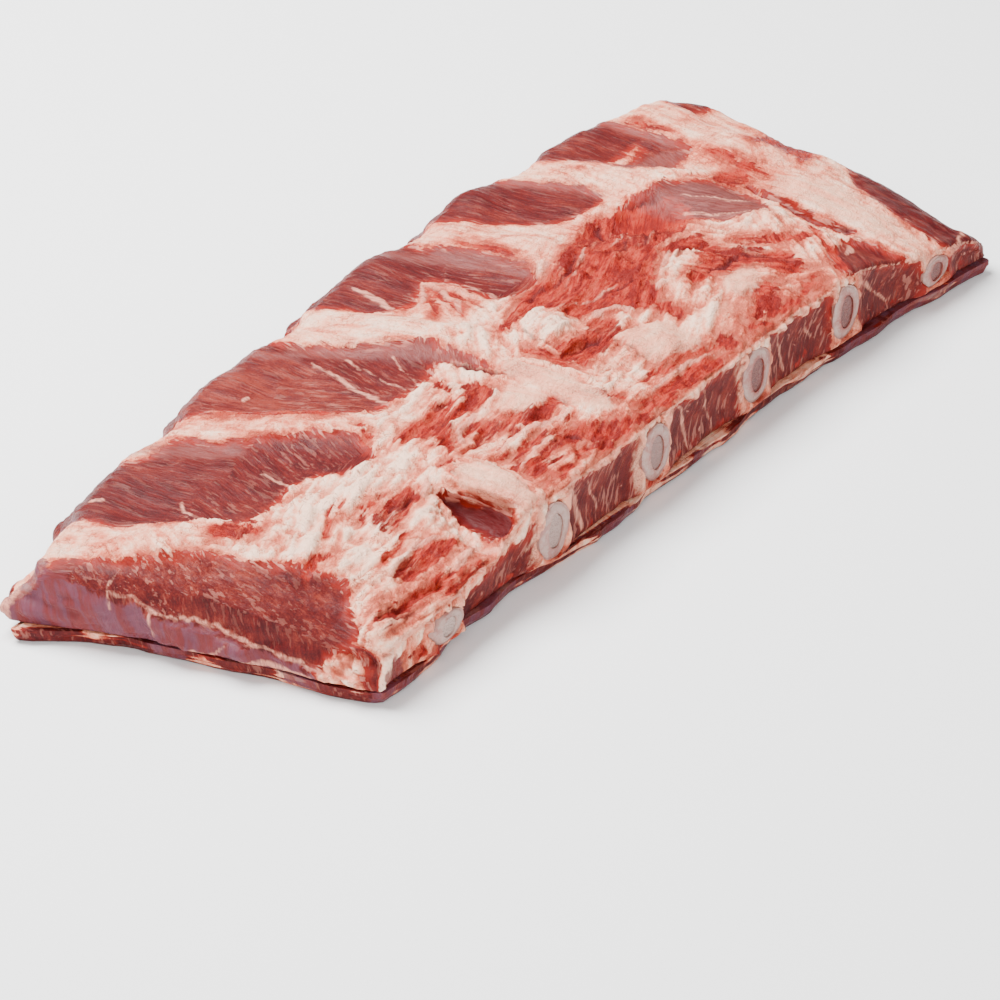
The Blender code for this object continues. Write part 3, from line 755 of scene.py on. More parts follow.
# Middle of the sawn, free, front and far side's fibres, and their three axes: along, across and inward.
SIDE_GRAINS = (
    ((0, 0, 0), (0.42, 0.0, 0.91), (0.91, 0.0, -0.42), (0.0, 1.0, 0.0)),
    ((0, 0, 0), (0.30, 0.0, 0.95), (0.95, 0.0, -0.30), (0.0, 1.0, 0.0)),
    ((0, 0, 0), (0.0, 0.34, 0.94), (0.0, 0.94, -0.34), (1.0, 0.0, 0.0)),
    ((0, 0, 0), (0.0, 0.90, 0.44), (0.0, -0.44, 0.90), (1.0, 0.0, 0.0)),
)

PACKED_BONE_SIDES = 14
HIGHEST_CORNER = 3


@dataclass
class RibLine:
    """One bone's stations in the plan: places across the rack, with the centre and the half sizes there."""

    y: np.ndarray
    x: np.ndarray
    z: np.ndarray
    half_width: np.ndarray
    half_height: np.ndarray

    @classmethod
    def measured(cls, node: Object) -> RibLine:
        """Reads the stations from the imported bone.

        Args:
            node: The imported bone.

        Returns:
            Its stations, from the sawn end to the free end.
        """
        plan = to_plan(vertex_places(node.data))
        keys = np.round(plan[:, 1] * 5.0) / 5.0
        rings = [plan[keys == key] for key in np.unique(keys)]
        rings = [ring for ring in rings if len(ring) >= PACKED_BONE_SIDES]
        low = np.array([ring.min(axis=0) for ring in rings])
        high = np.array([ring.max(axis=0) for ring in rings])
        middle, half = (low + high) / 2.0, (high - low) / 2.0
        corner_height = math.sin(2.0 * math.pi * HIGHEST_CORNER / PACKED_BONE_SIDES)
        return cls(middle[:, 1], middle[:, 0], middle[:, 2], half[:, 0], half[:, 2] / corner_height)

    def at(self, y: np.ndarray | float) -> tuple[np.ndarray, ...]:
        """Centre X, centre Z, half width and half height at places across the rack."""
        values = (self.x, self.z, self.half_width, self.half_height)
        return tuple(np.interp(y, self.y, value) for value in values)


def vertex_places(mesh: Mesh) -> np.ndarray:
    """The places of a mesh's vertices, one row each."""
    flat = np.empty(len(mesh.vertices) * 3, np.float32)
    mesh.vertices.foreach_get("co", flat)
    return flat.reshape(-1, 3).astype(float)


def vertex_normals(mesh: Mesh, passes: int) -> np.ndarray:
    """Normals of a mesh's vertices, evened out over their neighbours.

    Args:
        mesh: The mesh.
        passes: How often each normal is averaged with those round it.

    Returns:
        One unit vector for each vertex.
    """
    flat = np.empty(len(mesh.vertices) * 3, np.float32)
    mesh.vertex_normals.foreach_get("vector", flat)
    normals = flat.reshape(-1, 3).astype(float)
    pairs = np.empty(len(mesh.edges) * 2, np.int32)
    mesh.edges.foreach_get("vertices", pairs)
    first, second = pairs.reshape(-1, 2).T
    for _ in range(passes):
        summed = normals.copy()
        for axis in range(3):
            summed[:, axis] += np.bincount(first, normals[second, axis], len(normals))
            summed[:, axis] += np.bincount(second, normals[first, axis], len(normals))
        normals = summed / np.linalg.norm(summed, axis=1, keepdims=True).clip(1e-9)
    return normals


def new_piece(name: str, mesh: Mesh) -> Object:
    """Puts a mesh in the scene under a name."""
    piece = bpy.data.objects.new(name, mesh)
    bpy.context.scene.collection.objects.link(piece)
    return piece


def evaluated_mesh(piece: Object) -> Mesh:
    """A piece's mesh with its modifiers applied."""
    graph = bpy.context.evaluated_depsgraph_get()
    return bpy.data.meshes.new_from_object(piece.evaluated_get(graph))


def store(mesh: Mesh, name: str, values: np.ndarray, domain: str = "POINT") -> None:
    """Writes values into a mesh attribute.

    Args:
        mesh: The mesh.
        name: The attribute's name.
        values: One number or one vector for each element.
        domain: POINT for vertices or CORNER for face corners.
    """
    kind, slot = ("FLOAT", "value") if values.ndim == 1 else ("FLOAT_VECTOR", "vector")
    attribute = mesh.attributes.new(name, kind, domain)
    attribute.data.foreach_set(slot, values.astype(np.float32).ravel())


@dataclass
class RackForm:
    """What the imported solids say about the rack, for placing tissue on it."""

    ribs: list[RibLine] = field(init=False)
    rim_x: np.ndarray = field(init=False)
    rim_z: np.ndarray = field(init=False)

    def __post_init__(self) -> None:
        """Measures the bones and the upper edge of the sawn side."""
        names = sorted(name for name in frame["nodes"] if name.startswith("rib_bone_"))
        self.ribs = [RibLine.measured(frame["nodes"][name]) for name in names]
        plan = to_plan(vertex_places(frame["nodes"]["rib_meat"].data))
        self.rim_x = np.arange(-176.0, 200.0, 8.0)
        rim = []
        for x in self.rim_x:
            near = plan[np.abs(plan[:, 0] - x) < 7.0]
            rim.append(near[near[:, 1] < near[:, 1].min() + 8.0][:, 2].max())
        self.rim_z = np.array(rim)

    def rib_gap(self, plan: np.ndarray) -> np.ndarray:
        """Distance along the rack from each point to the nearest bone's middle, in mm."""
        gaps = [np.abs(plan[:, 0] - rib.at(plan[:, 1])[0]) for rib in self.ribs]
        return np.min(gaps, axis=0)

    def sawn_rim(self, x: np.ndarray) -> np.ndarray:
        """Height of the sawn side's upper edge at places along the rack."""
        return np.interp(x, self.rim_x, self.rim_z)


@dataclass
class MeatSurface:
    """Works out tissue, tone and relief all over the slab of rib meat."""

    form: RackForm
    noise: Noise
    lump: float = 0.7
    tear: float = 0.45
    strand: float = 0.4
    rope: float = 0.9
    cut: float = 1.1
    roll: float = 0.8

    def side_weights(self, normals: np.ndarray) -> list[np.ndarray]:
        """Share of each vertex that belongs to the top, the sawn, free, front and far side."""
        top = ease(0.3, 0.62, normals[:, 2]) + ease(-0.75, -0.95, normals[:, 2])
        x, y = normals[:, 0], normals[:, 1]
        walls = np.column_stack([(-y).clip(0.0), y.clip(0.0), (-x).clip(0.0), x.clip(0.0)]) ** 3 + 1e-9
        walls *= ((1.0 - top) / walls.sum(axis=1))[:, None]
        return [top, *walls.T]

    def warped(self, flat: np.ndarray, depth: np.ndarray) -> np.ndarray:
        """Plane coordinates, shifted a little by noise so that borders wander."""
        places = np.column_stack([flat, depth])
        coarse = np.column_stack([self.noise.at(places + 50.0 * k, 8.0) for k in (1, 2)])
        fine = np.column_stack([self.noise.at(places + 90.0 * k, 2.6) for k in (3, 4)])
        return flat + 1.2 * coarse + 0.7 * fine

    def top_layer(self, plan: np.ndarray) -> Layer:
        """Tissue of the upper face."""
        layer = Layer(len(plan))
        flat = self.warped(plan[:, :2], plan[:, 2])
        shapes = LEAN_WINDOWS + FAT_OVER_LEAN + BLOOD_PATCHES + BLOOD_STRANDS + VEILS + PALE_STRANDS
        for shape in shapes + BARE_PATCHES + CREASES:
            layer.lay(shape, flat)
        layer.tint(TOP_TINTS, plan[:, :2])
        for bump in TOP_BUMPS:
            layer.height += bump.value(plan[:, :2])
        layer.tones[VEIN] += 0.12
        return layer

    def sawn_layer(self, plan: np.ndarray) -> Layer:
        """Tissue of the sawn side: lean between the bones, under a rim of fat."""
        layer = Layer(len(plan))
        flat = self.warped(plan[:, [0, 2]], plan[:, 1])
        gap = self.form.rib_gap(plan)
        rim = self.form.sawn_rim(plan[:, 0])
        wander = self.noise.fractal(plan, 8.0, 3)
        lean = np.minimum(gap - 8.8 + 2.0 * wander, rim - 3.6 - plan[:, 2] + 2.4 * wander)
        layer.depths[LEAN] = np.clip(lean, -REACH, REACH)
        lip = 1.0 - np.abs(lean + 1.0)
        layer.depths[SINEW] = np.where(plan[:, 2] > 14.0, lip, -REACH)
        low_blood = 3.0 * wander - 0.6 - np.abs(plan[:, 2] - 8.0)
        layer.depths[BLOOD] = np.where(plan[:, 2] < 13.0, low_blood, -REACH)
        layer.height = 0.9 * ease(-0.6, 0.6, lip) - 0.7 * ease(-0.5, 2.0, lean)
        for shape in SAWN_SHAPES:
            layer.lay(shape, flat)
        layer.tones[DARK] -= 0.02
        layer.tones[VEIN] += 0.6
        layer.tones[PINK] -= 0.02
        return layer

    def free_layer(self, plan: np.ndarray) -> Layer:
        """Tissue of the free side: lean that bulges between the covered rib ends."""
        layer = Layer(len(plan))
        wander = 2.2 * self.noise.fractal(plan, 12.0, 3)
        lean = self.form.rib_gap(plan) - 13.0 + wander
        layer.depths[LEAN] = np.clip(lean, -REACH, REACH)
        film = 3.0 * self.noise.fractal(plan + 40.0, (34, 34, 12), 2) - 5.0
        layer.depths[FILM] = np.clip(film, -REACH, REACH)
        layer.height = 2.0 * ease(-1.0, 6.0, lean) - 0.6
        layer.tones[VEIN] += 0.35
        layer.tones[PINK] += 0.1
        return layer

    def front_layer(self, plan: np.ndarray) -> Layer:
        """Tissue of the front end: dark lean above a mauve membrane."""
        layer = Layer(len(plan))
        layer.depths[LEAN] = np.full(len(plan), REACH)
        folds = self.noise.fractal(plan, (9.0, 22.0, 5.0), 3)
        creases = 0.7 - 3.0 * np.abs(self.noise.fractal(plan + 150.0, (20.0, 12.0, 6.0), 2))
        layer.height = (folds + 0.8 * creases) * ease(26.0, 14.0, plan[:, 2])
        layer.tones[DARK] += 0.05 + 0.3 * folds - 0.2 * creases
        layer.tones[VEIN] += 0.15
        return layer

    def far_layer(self, plan: np.ndarray) -> Layer:
        """Tissue of the far end: lean with streaks of fat and a thin membrane low down."""
        layer = Layer(len(plan))
        streaks = self.noise.fractal(plan, (20, 26, 7), 3)
        layer.depths[LEAN] = np.clip(5.0 - 14.0 * streaks.clip(0.0), -REACH, REACH)
        layer.depths[MAUVE] = np.clip(13.0 - plan[:, 2] + 6.0 * streaks, -REACH, REACH)
        layer.tones[DARK] += 0.08
        layer.tones[VEIN] += 0.4
        return layer

    def grain_of(self, plan: np.ndarray, normals: np.ndarray) -> tuple[np.ndarray, np.ndarray]:
        """Fibre coordinates of faces.

        Args:
            plan: Middle of each face.
            normals: Direction that each face looks.

        Returns:
            The number of each face's grain area, and for each area its middle and three axes.
        """
        middles = np.array([grain.centre for grain in TOP_GRAINS], float)
        reach = np.array([grain.reach for grain in TOP_GRAINS])
        jitter = 5.0 * self.noise.fractal(plan, 14.0, 2)
        apart = np.linalg.norm(plan[:, None, :2] - middles[None], axis=2) + jitter[:, None]
        area = np.argmin(apart / reach, axis=1)
        frames = []
        for grain in TOP_GRAINS:
            turn = math.radians(grain.angle)
            along = (math.cos(turn), math.sin(turn), 0.0)
            across = (-math.sin(turn), math.cos(turn), 0.0)
            frames.append(((*grain.centre, 0.0), along, across, (0.0, 0.0, 1.0)))
        weights = np.column_stack(self.side_weights(normals))
        side = np.argmax(weights, axis=1)
        area = np.where(side > 0, len(TOP_GRAINS) + side - 1, area)
        return area, np.array([*frames, *SIDE_GRAINS], float)

    def grain_places(self, plan: np.ndarray, area: np.ndarray, frames: np.ndarray) -> np.ndarray:
        """Fibre coordinates of points: along, across and into the fibres of their area."""
        offset = plan - frames[area, 0]
        places = np.einsum("nk,nak->na", offset, frames[area, 1:])
        bends = np.array([grain.bend for grain in TOP_GRAINS] + [0.0] * len(SIDE_GRAINS))[area]
        places[:, 1] += 0.5 * bends * places[:, 0] ** 2
        return places

    def layers(self, plan: np.ndarray, normals: np.ndarray) -> Layer:
        """Tissue, tone and relief at points of the slab.

        Args:
            plan: The points.
            normals: Direction that the surface looks at each point.

        Returns:
            One layer for the whole slab.
        """
        sides = (self.top_layer, self.sawn_layer, self.free_layer, self.front_layer, self.far_layer)
        weights = self.side_weights(normals)
        mixed = blend([side(plan) for side in sides], weights)
        forward = self.warped(plan[:, 1:], plan[:, 0])
        forward[normals[:, 0] > -0.42] = FAR_AWAY
        for shape in FRONT_SHAPES:
            mixed.lay(shape, forward)
        area, frames = self.grain_of(plan, normals)
        places = self.grain_places(plan, area, frames)
        lumps = self.noise.fractal(plan, 11.0, 4)
        tears = 1.0 - 2.2 * np.abs(self.noise.fractal(plan + 31.0, (9.0, 5.0, 6.0), 3))
        strands = self.noise.fractal(places, (26.0, 3.6, 3.6), 2)
        ropes = 2.4 * np.abs(self.noise.fractal(places + 60.0, (34.0, 5.2, 5.2), 2)) - 0.75
        cuts = ease(0.075, 0.0, np.abs(self.noise.fractal(places + 90.0, (24.0, 7.0, 7.0), 2)))
        edge = 4.0 * weights[0] * weights[1] * (1.0 + 0.6 * lumps) - 0.5
        lip = 3.0 * edge - ease(15.0, 12.0, plan[:, 2]) * REACH
        mixed.depths[SINEW] = np.maximum(mixed.depths[SINEW], lip)
        lean = ease(-0.5, 1.5, mixed.depths[LEAN])
        smooth = ease(-1.0, 2.0, mixed.depths[BARE])
        sawn_half = ease(30.0, 8.0, plan[:, 1])
        far_end = ease(136.0, 154.0, plan[:, 0])
        rough = (1.0 - lean) * (1.0 - 0.75 * smooth) * sawn_half * (1.0 - 0.75 * far_end)
        torn = self.tear * tears + self.rope * ropes - self.cut * cuts
        mixed.height += self.lump * lumps * (0.5 + 0.5 * rough) + rough * torn + self.strand * strands
        wall = ease(0.75, 0.3, normals[:, 2]) * ease(16.0, 8.5, plan[:, 2])
        mixed.height += self.roll * wall * (1.0 + 0.8 * lumps)
        # Fat is redder in the torn valleys and paler on the ridges: partly blood in the valleys, partly
        # painted shade.
        mixed.tones[PINK] -= rough * (0.16 * tears + 0.32 * ropes - 0.3 * cuts)
        # Painted shade: the sunk parts of the relief get a tone that darkens and reddens the fat there.
        sunk = ease(0.15, -0.95, torn + 0.4 * lumps + 0.3 * strands)
        mixed.tones[HOLLOW] = (0.25 + 0.75 * rough) * sunk
        return mixed


class Graph:
    """Short ways of adding shader nodes to a material or a node group."""

    def __init__(self, tree: NodeTree) -> None:
        """Keeps the tree that nodes go into.

        Args:
            tree: The node tree.
        """
        self.tree = tree

    def link(self, value: object, socket: NodeSocket) -> None:
        """Feeds a socket from another socket, or sets its value."""
        if isinstance(value, NodeSocket):
            self.tree.links.new(value, socket)
        else:
            socket.default_value = value

    def node(self, kind: str, inputs: dict[str | int, object] | None = None, **settings: object) -> Node:
        """Adds a node.

        Args:
            kind: The node's type name.
            inputs: Values or sockets for its inputs.
            settings: Values for its properties.

        Returns:
            The node.
        """
        made = self.tree.nodes.new(kind)
        for key, value in settings.items():
            setattr(made, key, value)
        for key, value in (inputs or {}).items():
            self.link(value, made.inputs[key])
        return made

    def maths(self, operation: str, first: object, second: object = 0.0, clamp: bool = False) -> NodeSocket:
        """One step of arithmetic."""
        made = self.node("ShaderNodeMath", {0: first, 1: second}, operation=operation, use_clamp=clamp)
        return made.outputs[0]

    def plus(self, first: object, second: object) -> NodeSocket:
        """The sum of two values."""
        return self.maths("ADD", first, second)

    def minus(self, first: object, second: object) -> NodeSocket:
        """The first value less the second."""
        return self.maths("SUBTRACT", first, second)

    def times(self, first: object, second: object, clamp: bool = False) -> NodeSocket:
        """The product of two values."""
        return self.maths("MULTIPLY", first, second, clamp)

    def larger(self, first: object, second: object) -> NodeSocket:
        """The larger of two values."""
        return self.maths("MAXIMUM", first, second)

    def varied(self, tone: object, parts: Sequence[tuple[NodeSocket, float]]) -> NodeSocket:
        """A tone, moved by how far each of some patterns lies from its middle, times the pattern's share."""
        for pattern, share in parts:
            tone = self.plus(tone, self.times(self.minus(pattern, 0.5), share))
        return tone

    def fit(
        self, value: object, low: object, high: object, start: float = 0.0, end: float = 1.0
    ) -> NodeSocket:
        """A smooth step of a value between two levels."""
        inputs = {"Value": value, "From Min": low, "From Max": high, "To Min": start, "To Max": end}
        return self.node("ShaderNodeMapRange", inputs, interpolation_type="SMOOTHSTEP").outputs[0]

    def cover(self, under: object, mask: object, share: object, colour: object) -> NodeSocket:
        """Lays a colour over another inside a mask, as far as a share lets it hide what is below."""
        return self.mix(self.times(mask, share), under, colour)

    def mix(self, share: object, first: object, second: object) -> NodeSocket:
        """Mixes two colours, which are inputs 6 and 7 of the node."""
        return self.node("ShaderNodeMix", {0: share, 6: first, 7: second}, data_type="RGBA").outputs[2]

    def ramp(self, value: object, stops: Sequence[tuple[float, tuple[float, ...]]]) -> NodeSocket:
        """Turns a value into a colour along a row of stops."""
        made = self.node("ShaderNodeValToRGB", {0: value})
        elements = made.color_ramp.elements
        while len(elements) < len(stops):
            elements.new(0.5)
        for element, (place, colour) in zip(elements, stops):
            element.position = place
            element.color = colour
        return made.outputs[0]

    def stretched(self, vector: object, scale: object) -> NodeSocket:
        """A vector with each part multiplied."""
        return self.node("ShaderNodeVectorMath", {0: vector, 1: scale}, operation="MULTIPLY").outputs[0]

    def noise(
        self, vector: object, detail: float = 3.0, roughness: float = 0.5, distortion: float = 0.0
    ) -> NodeSocket:
        """Noise with lumps of one unit, from 0 to 1."""
        inputs = {"Vector": vector, "Scale": 1.0, "Detail": detail}
        inputs |= {"Roughness": roughness, "Distortion": distortion}
        return self.node("ShaderNodeTexNoise", inputs).outputs[0]

    def attribute(self, name: str, vector: bool = False) -> NodeSocket:
        """A mesh attribute as a value or a vector."""
        made = self.node("ShaderNodeAttribute", attribute_name=name)
        return made.outputs["Vector"] if vector else made.outputs["Fac"]

    def group(self, tree: NodeTree, **inputs: object) -> Node:
        """Places a node group."""
        made = self.node("ShaderNodeGroup", node_tree=tree)
        for key, value in inputs.items():
            self.link(value, made.inputs[key.replace("_", " ")])
        return made


def albedo(red: float, green: float, blue: float) -> tuple[float, float, float, float]:
    """A colour as the share of red, green and blue light that it throws back."""
    return (red, green, blue, 1.0)


def new_group(
    name: str, inputs: Sequence[tuple[str, str, float]], outputs: Sequence[tuple[str, str]]
) -> tuple[Graph, Node, Node]:
    """Starts a shader node group.

    Args:
        name: The group's name.
        inputs: Name, kind (Float or Vector) and value of each input.
        outputs: Name and kind of each output.

    Returns:
        The group's graph, its input node and its output node.
    """
    tree = bpy.data.node_groups.new(name, "ShaderNodeTree")
    for label, kind, value in inputs:
        socket = tree.interface.new_socket(label, in_out="INPUT", socket_type=f"NodeSocket{kind}")
        if kind == "Float":
            socket.default_value = value
    for label, kind in outputs:
        tree.interface.new_socket(label, in_out="OUTPUT", socket_type=f"NodeSocket{kind}")
    graph = Graph(tree)
    return graph, graph.node("NodeGroupInput"), graph.node("NodeGroupOutput")


def fibre_group() -> NodeTree:
    """Muscle fibres: fine strands, coarser bundles, and thin pale lines between bundles.

    Returns:
        The node group.
    """
    graph, given, made = new_group(
        "muscle fibres",
        [("Grain", "Vector", 0.0), ("Strand", "Float", 0.9), ("Length", "Float", 8.0)],
        [(name, "Float") for name in ("Strands", "Bundles", "Lines", "Height")],
    )
    scale_across = graph.maths("DIVIDE", 1.0, given.outputs["Strand"])
    scale_along = graph.maths("DIVIDE", 1.0, graph.times(given.outputs["Strand"], given.outputs["Length"]))
    scale = graph.node("ShaderNodeCombineXYZ", {0: scale_along, 1: scale_across, 2: scale_across}).outputs[0]
    fine_place = graph.stretched(given.outputs["Grain"], scale)
    strands = graph.noise(fine_place, 4.0, 0.6, 0.4)
    bundles = graph.noise(graph.stretched(fine_place, (0.3, 0.24, 0.24)), 3.0, 0.55, 0.3)
    dashes = graph.noise(graph.stretched(fine_place, (0.9, 0.62, 0.62)), 2.0, 0.5, 0.3)
    here = graph.fit(graph.noise(graph.stretched(fine_place, (0.3, 0.09, 0.09)), 1.0), 0.4, 0.6, 0.0, 0.09)
    lines = graph.fit(graph.plus(dashes, here), 0.61, 0.68)
    rise = graph.plus(graph.times(strands, 0.55), graph.times(bundles, 0.9))
    graph.link(strands, made.inputs["Strands"])
    graph.link(bundles, made.inputs["Bundles"])
    graph.link(lines, made.inputs["Lines"])
    graph.link(graph.plus(rise, graph.times(lines, 0.2)), made.inputs["Height"])
    return graph.tree


def mottle_group() -> NodeTree:
    """Fat: soft clouds, small curds and fine pits.

    Returns:
        The node group.
    """
    graph, given, made = new_group(
        "fat mottle",
        [("Place", "Vector", 0.0), ("Size", "Float", 1.0)],
        [(name, "Float") for name in ("Clouds", "Curds", "Grit", "Cracks", "Height")],
    )
    scale = graph.maths("DIVIDE", 1.0, given.outputs["Size"])
    scaled = {0: given.outputs["Place"], "Scale": scale}
    place = graph.node("ShaderNodeVectorMath", scaled, operation="SCALE").outputs[0]
    clouds = graph.noise(graph.stretched(place, (0.1, 0.1, 0.1)), 5.0, 0.6, 0.5)
    curls = graph.noise(graph.stretched(place, (0.42, 0.42, 0.42)), 4.0, 0.62, 1.4)
    grid = {"Vector": place, "Scale": 0.55, "Randomness": 1.0}
    cells = graph.node("ShaderNodeTexVoronoi", grid, feature="SMOOTH_F1")
    curds = graph.maths("SUBTRACT", 1.0, cells.outputs["Distance"], clamp=True)
    pits = graph.noise(graph.stretched(place, (1.6, 1.6, 1.6)), 3.0, 0.6)
    bends = graph.noise(graph.stretched(place, (0.17, 0.17, 0.17)), 3.0, 0.6, 0.6)
    ridge = graph.maths("ABSOLUTE", graph.minus(bends, 0.5))
    width = graph.fit(clouds, 0.42, 0.62, 0.004, 0.022)
    cracks = graph.fit(ridge, width, graph.times(width, 0.25))
    rise = graph.plus(graph.times(curls, 1.5), graph.times(curds, 0.25))
    rise = graph.minus(rise, graph.times(cracks, 0.35))
    graph.link(clouds, made.inputs["Clouds"])
    graph.link(curls, made.inputs["Curds"])
    graph.link(pits, made.inputs["Grit"])
    graph.link(cracks, made.inputs["Cracks"])
    graph.link(graph.plus(rise, graph.times(pits, 0.25)), made.inputs["Height"])
    return graph.tree


def fray_group() -> NodeTree:
    """Streaks along the fibres and specks between them, which tear the borders of every tissue.

    Returns:
        The node group.
    """
    graph, given, made = new_group(
        "fray", [("Grain", "Vector", 0.0), ("Place", "Vector", 0.0)], [("Fray", "Float")]
    )
    streaks = graph.noise(graph.stretched(given.outputs["Grain"], (0.07, 0.42, 0.42)), 3.0, 0.55, 0.5)
    specks = graph.noise(graph.stretched(given.outputs["Place"], (0.3, 0.3, 0.3)), 3.0, 0.55)
    both = graph.plus(graph.times(streaks, 1.4), graph.times(specks, 0.6))
    graph.link(graph.minus(both, 1.0), made.inputs["Fray"])
    return graph.tree


def border_group() -> NodeTree:
    """Turns the depth inside a tissue into a mask with a torn, fibrous border.

    Returns:
        The node group.
    """
    graph, given, made = new_group(
        "torn border",
        [("Depth", "Float", 0.0), ("Fray", "Float", 0.0), ("Ragged", "Float", 1.5), ("Soft", "Float", 0.5)],
        [("Mask", "Float"), ("Rim", "Float")],
    )
    shifted = graph.times(given.outputs["Fray"], graph.times(given.outputs["Ragged"], 4.0))
    depth = graph.plus(given.outputs["Depth"], shifted)
    low = graph.times(given.outputs["Soft"], -1.0)
    graph.link(graph.fit(depth, low, given.outputs["Soft"]), made.inputs["Mask"])
    graph.link(graph.fit(depth, 4.5, 0.2), made.inputs["Rim"])
    return graph.tree


@dataclass
class SharedEffects:
    """The node groups that more than one finish uses."""

    fibres: NodeTree = field(default_factory=fibre_group)
    mottle: NodeTree = field(default_factory=mottle_group)
    fray: NodeTree = field(default_factory=fray_group)
    border: NodeTree = field(default_factory=border_group)


CREAM = albedo(0.97, 0.61, 0.44)
SHELL = albedo(0.94, 0.41, 0.265)
SALMON = albedo(0.68, 0.16, 0.09)
FLESH = albedo(0.34, 0.045, 0.026)
LEAN_LIGHT = albedo(0.205, 0.030, 0.020)
LEAN_MID = albedo(0.118, 0.0125, 0.0105)
LEAN_DEEP = albedo(0.082, 0.008, 0.0085)
LEAN_DARK = albedo(0.052, 0.006, 0.007)
LEAN_WARM = albedo(0.25, 0.016, 0.010)
LEAN_LINE = albedo(0.52, 0.19, 0.14)
BLOOD_LIGHT = albedo(0.42, 0.04, 0.022)
BLOOD_MID = albedo(0.27, 0.013, 0.008)
BLOOD_DEEP = albedo(0.17, 0.010, 0.008)
FILM_GREY = albedo(0.22, 0.064, 0.056)
MEMBRANE = albedo(0.135, 0.047, 0.069)
# The next two colours are painted shade: darker red fat in its hollows, pits and fine creases.
HOLLOW_SHADE_FAT = albedo(0.56, 0.15, 0.09)
CRACK_SHADE_RED = albedo(0.38, 0.09, 0.055)
SINEW_PALE = albedo(0.80, 0.33, 0.23)
BONE_SKIN = albedo(0.80, 0.43, 0.29)
# Dark clotted red, which along grooves is also painted shade.
CLOT_AND_GROOVE_SHADE = albedo(0.085, 0.009, 0.010)
MAUVE_RED = albedo(0.155, 0.028, 0.030)
BONE_WALL = albedo(0.42, 0.28, 0.24)
BONE_SPONGE = albedo(0.38, 0.19, 0.155)
BONE_RED = albedo(0.28, 0.065, 0.05)
MARROW_RED = albedo(0.15, 0.02, 0.014)
MARROW_DEEP = albedo(0.07, 0.009, 0.008)


def new_material(name: str) -> tuple[Material, Graph, Node]:
    """Starts a material.

    Args:
        name: The material's name.

    Returns:
        The material, its graph and its main shader.
    """
    material = bpy.data.materials.new(name)
    material.use_nodes = True
    return material, Graph(material.node_tree), material.node_tree.nodes["Principled BSDF"]


def place_in_mm(graph: Graph) -> NodeSocket:
    """The point's own place on the piece, in millimetres."""
    place = graph.node("ShaderNodeTexCoord").outputs["Object"]
    return graph.stretched(place, (1.0 / MM, 1.0 / MM, 1.0 / MM))


# How torn and how soft each tissue's border is, in mm.
RAGGED = {LEAN: 1.0, BLOOD: 1.5, FILM: 1.5, MAUVE: 1.3, SINEW: 0.3, BARE: 1.6, CREASE: 0.25}
SOFT = {LEAN: 0.35, BLOOD: 0.7, FILM: 2.6, MAUVE: 0.8, SINEW: 0.5, BARE: 1.5, CREASE: 0.35}


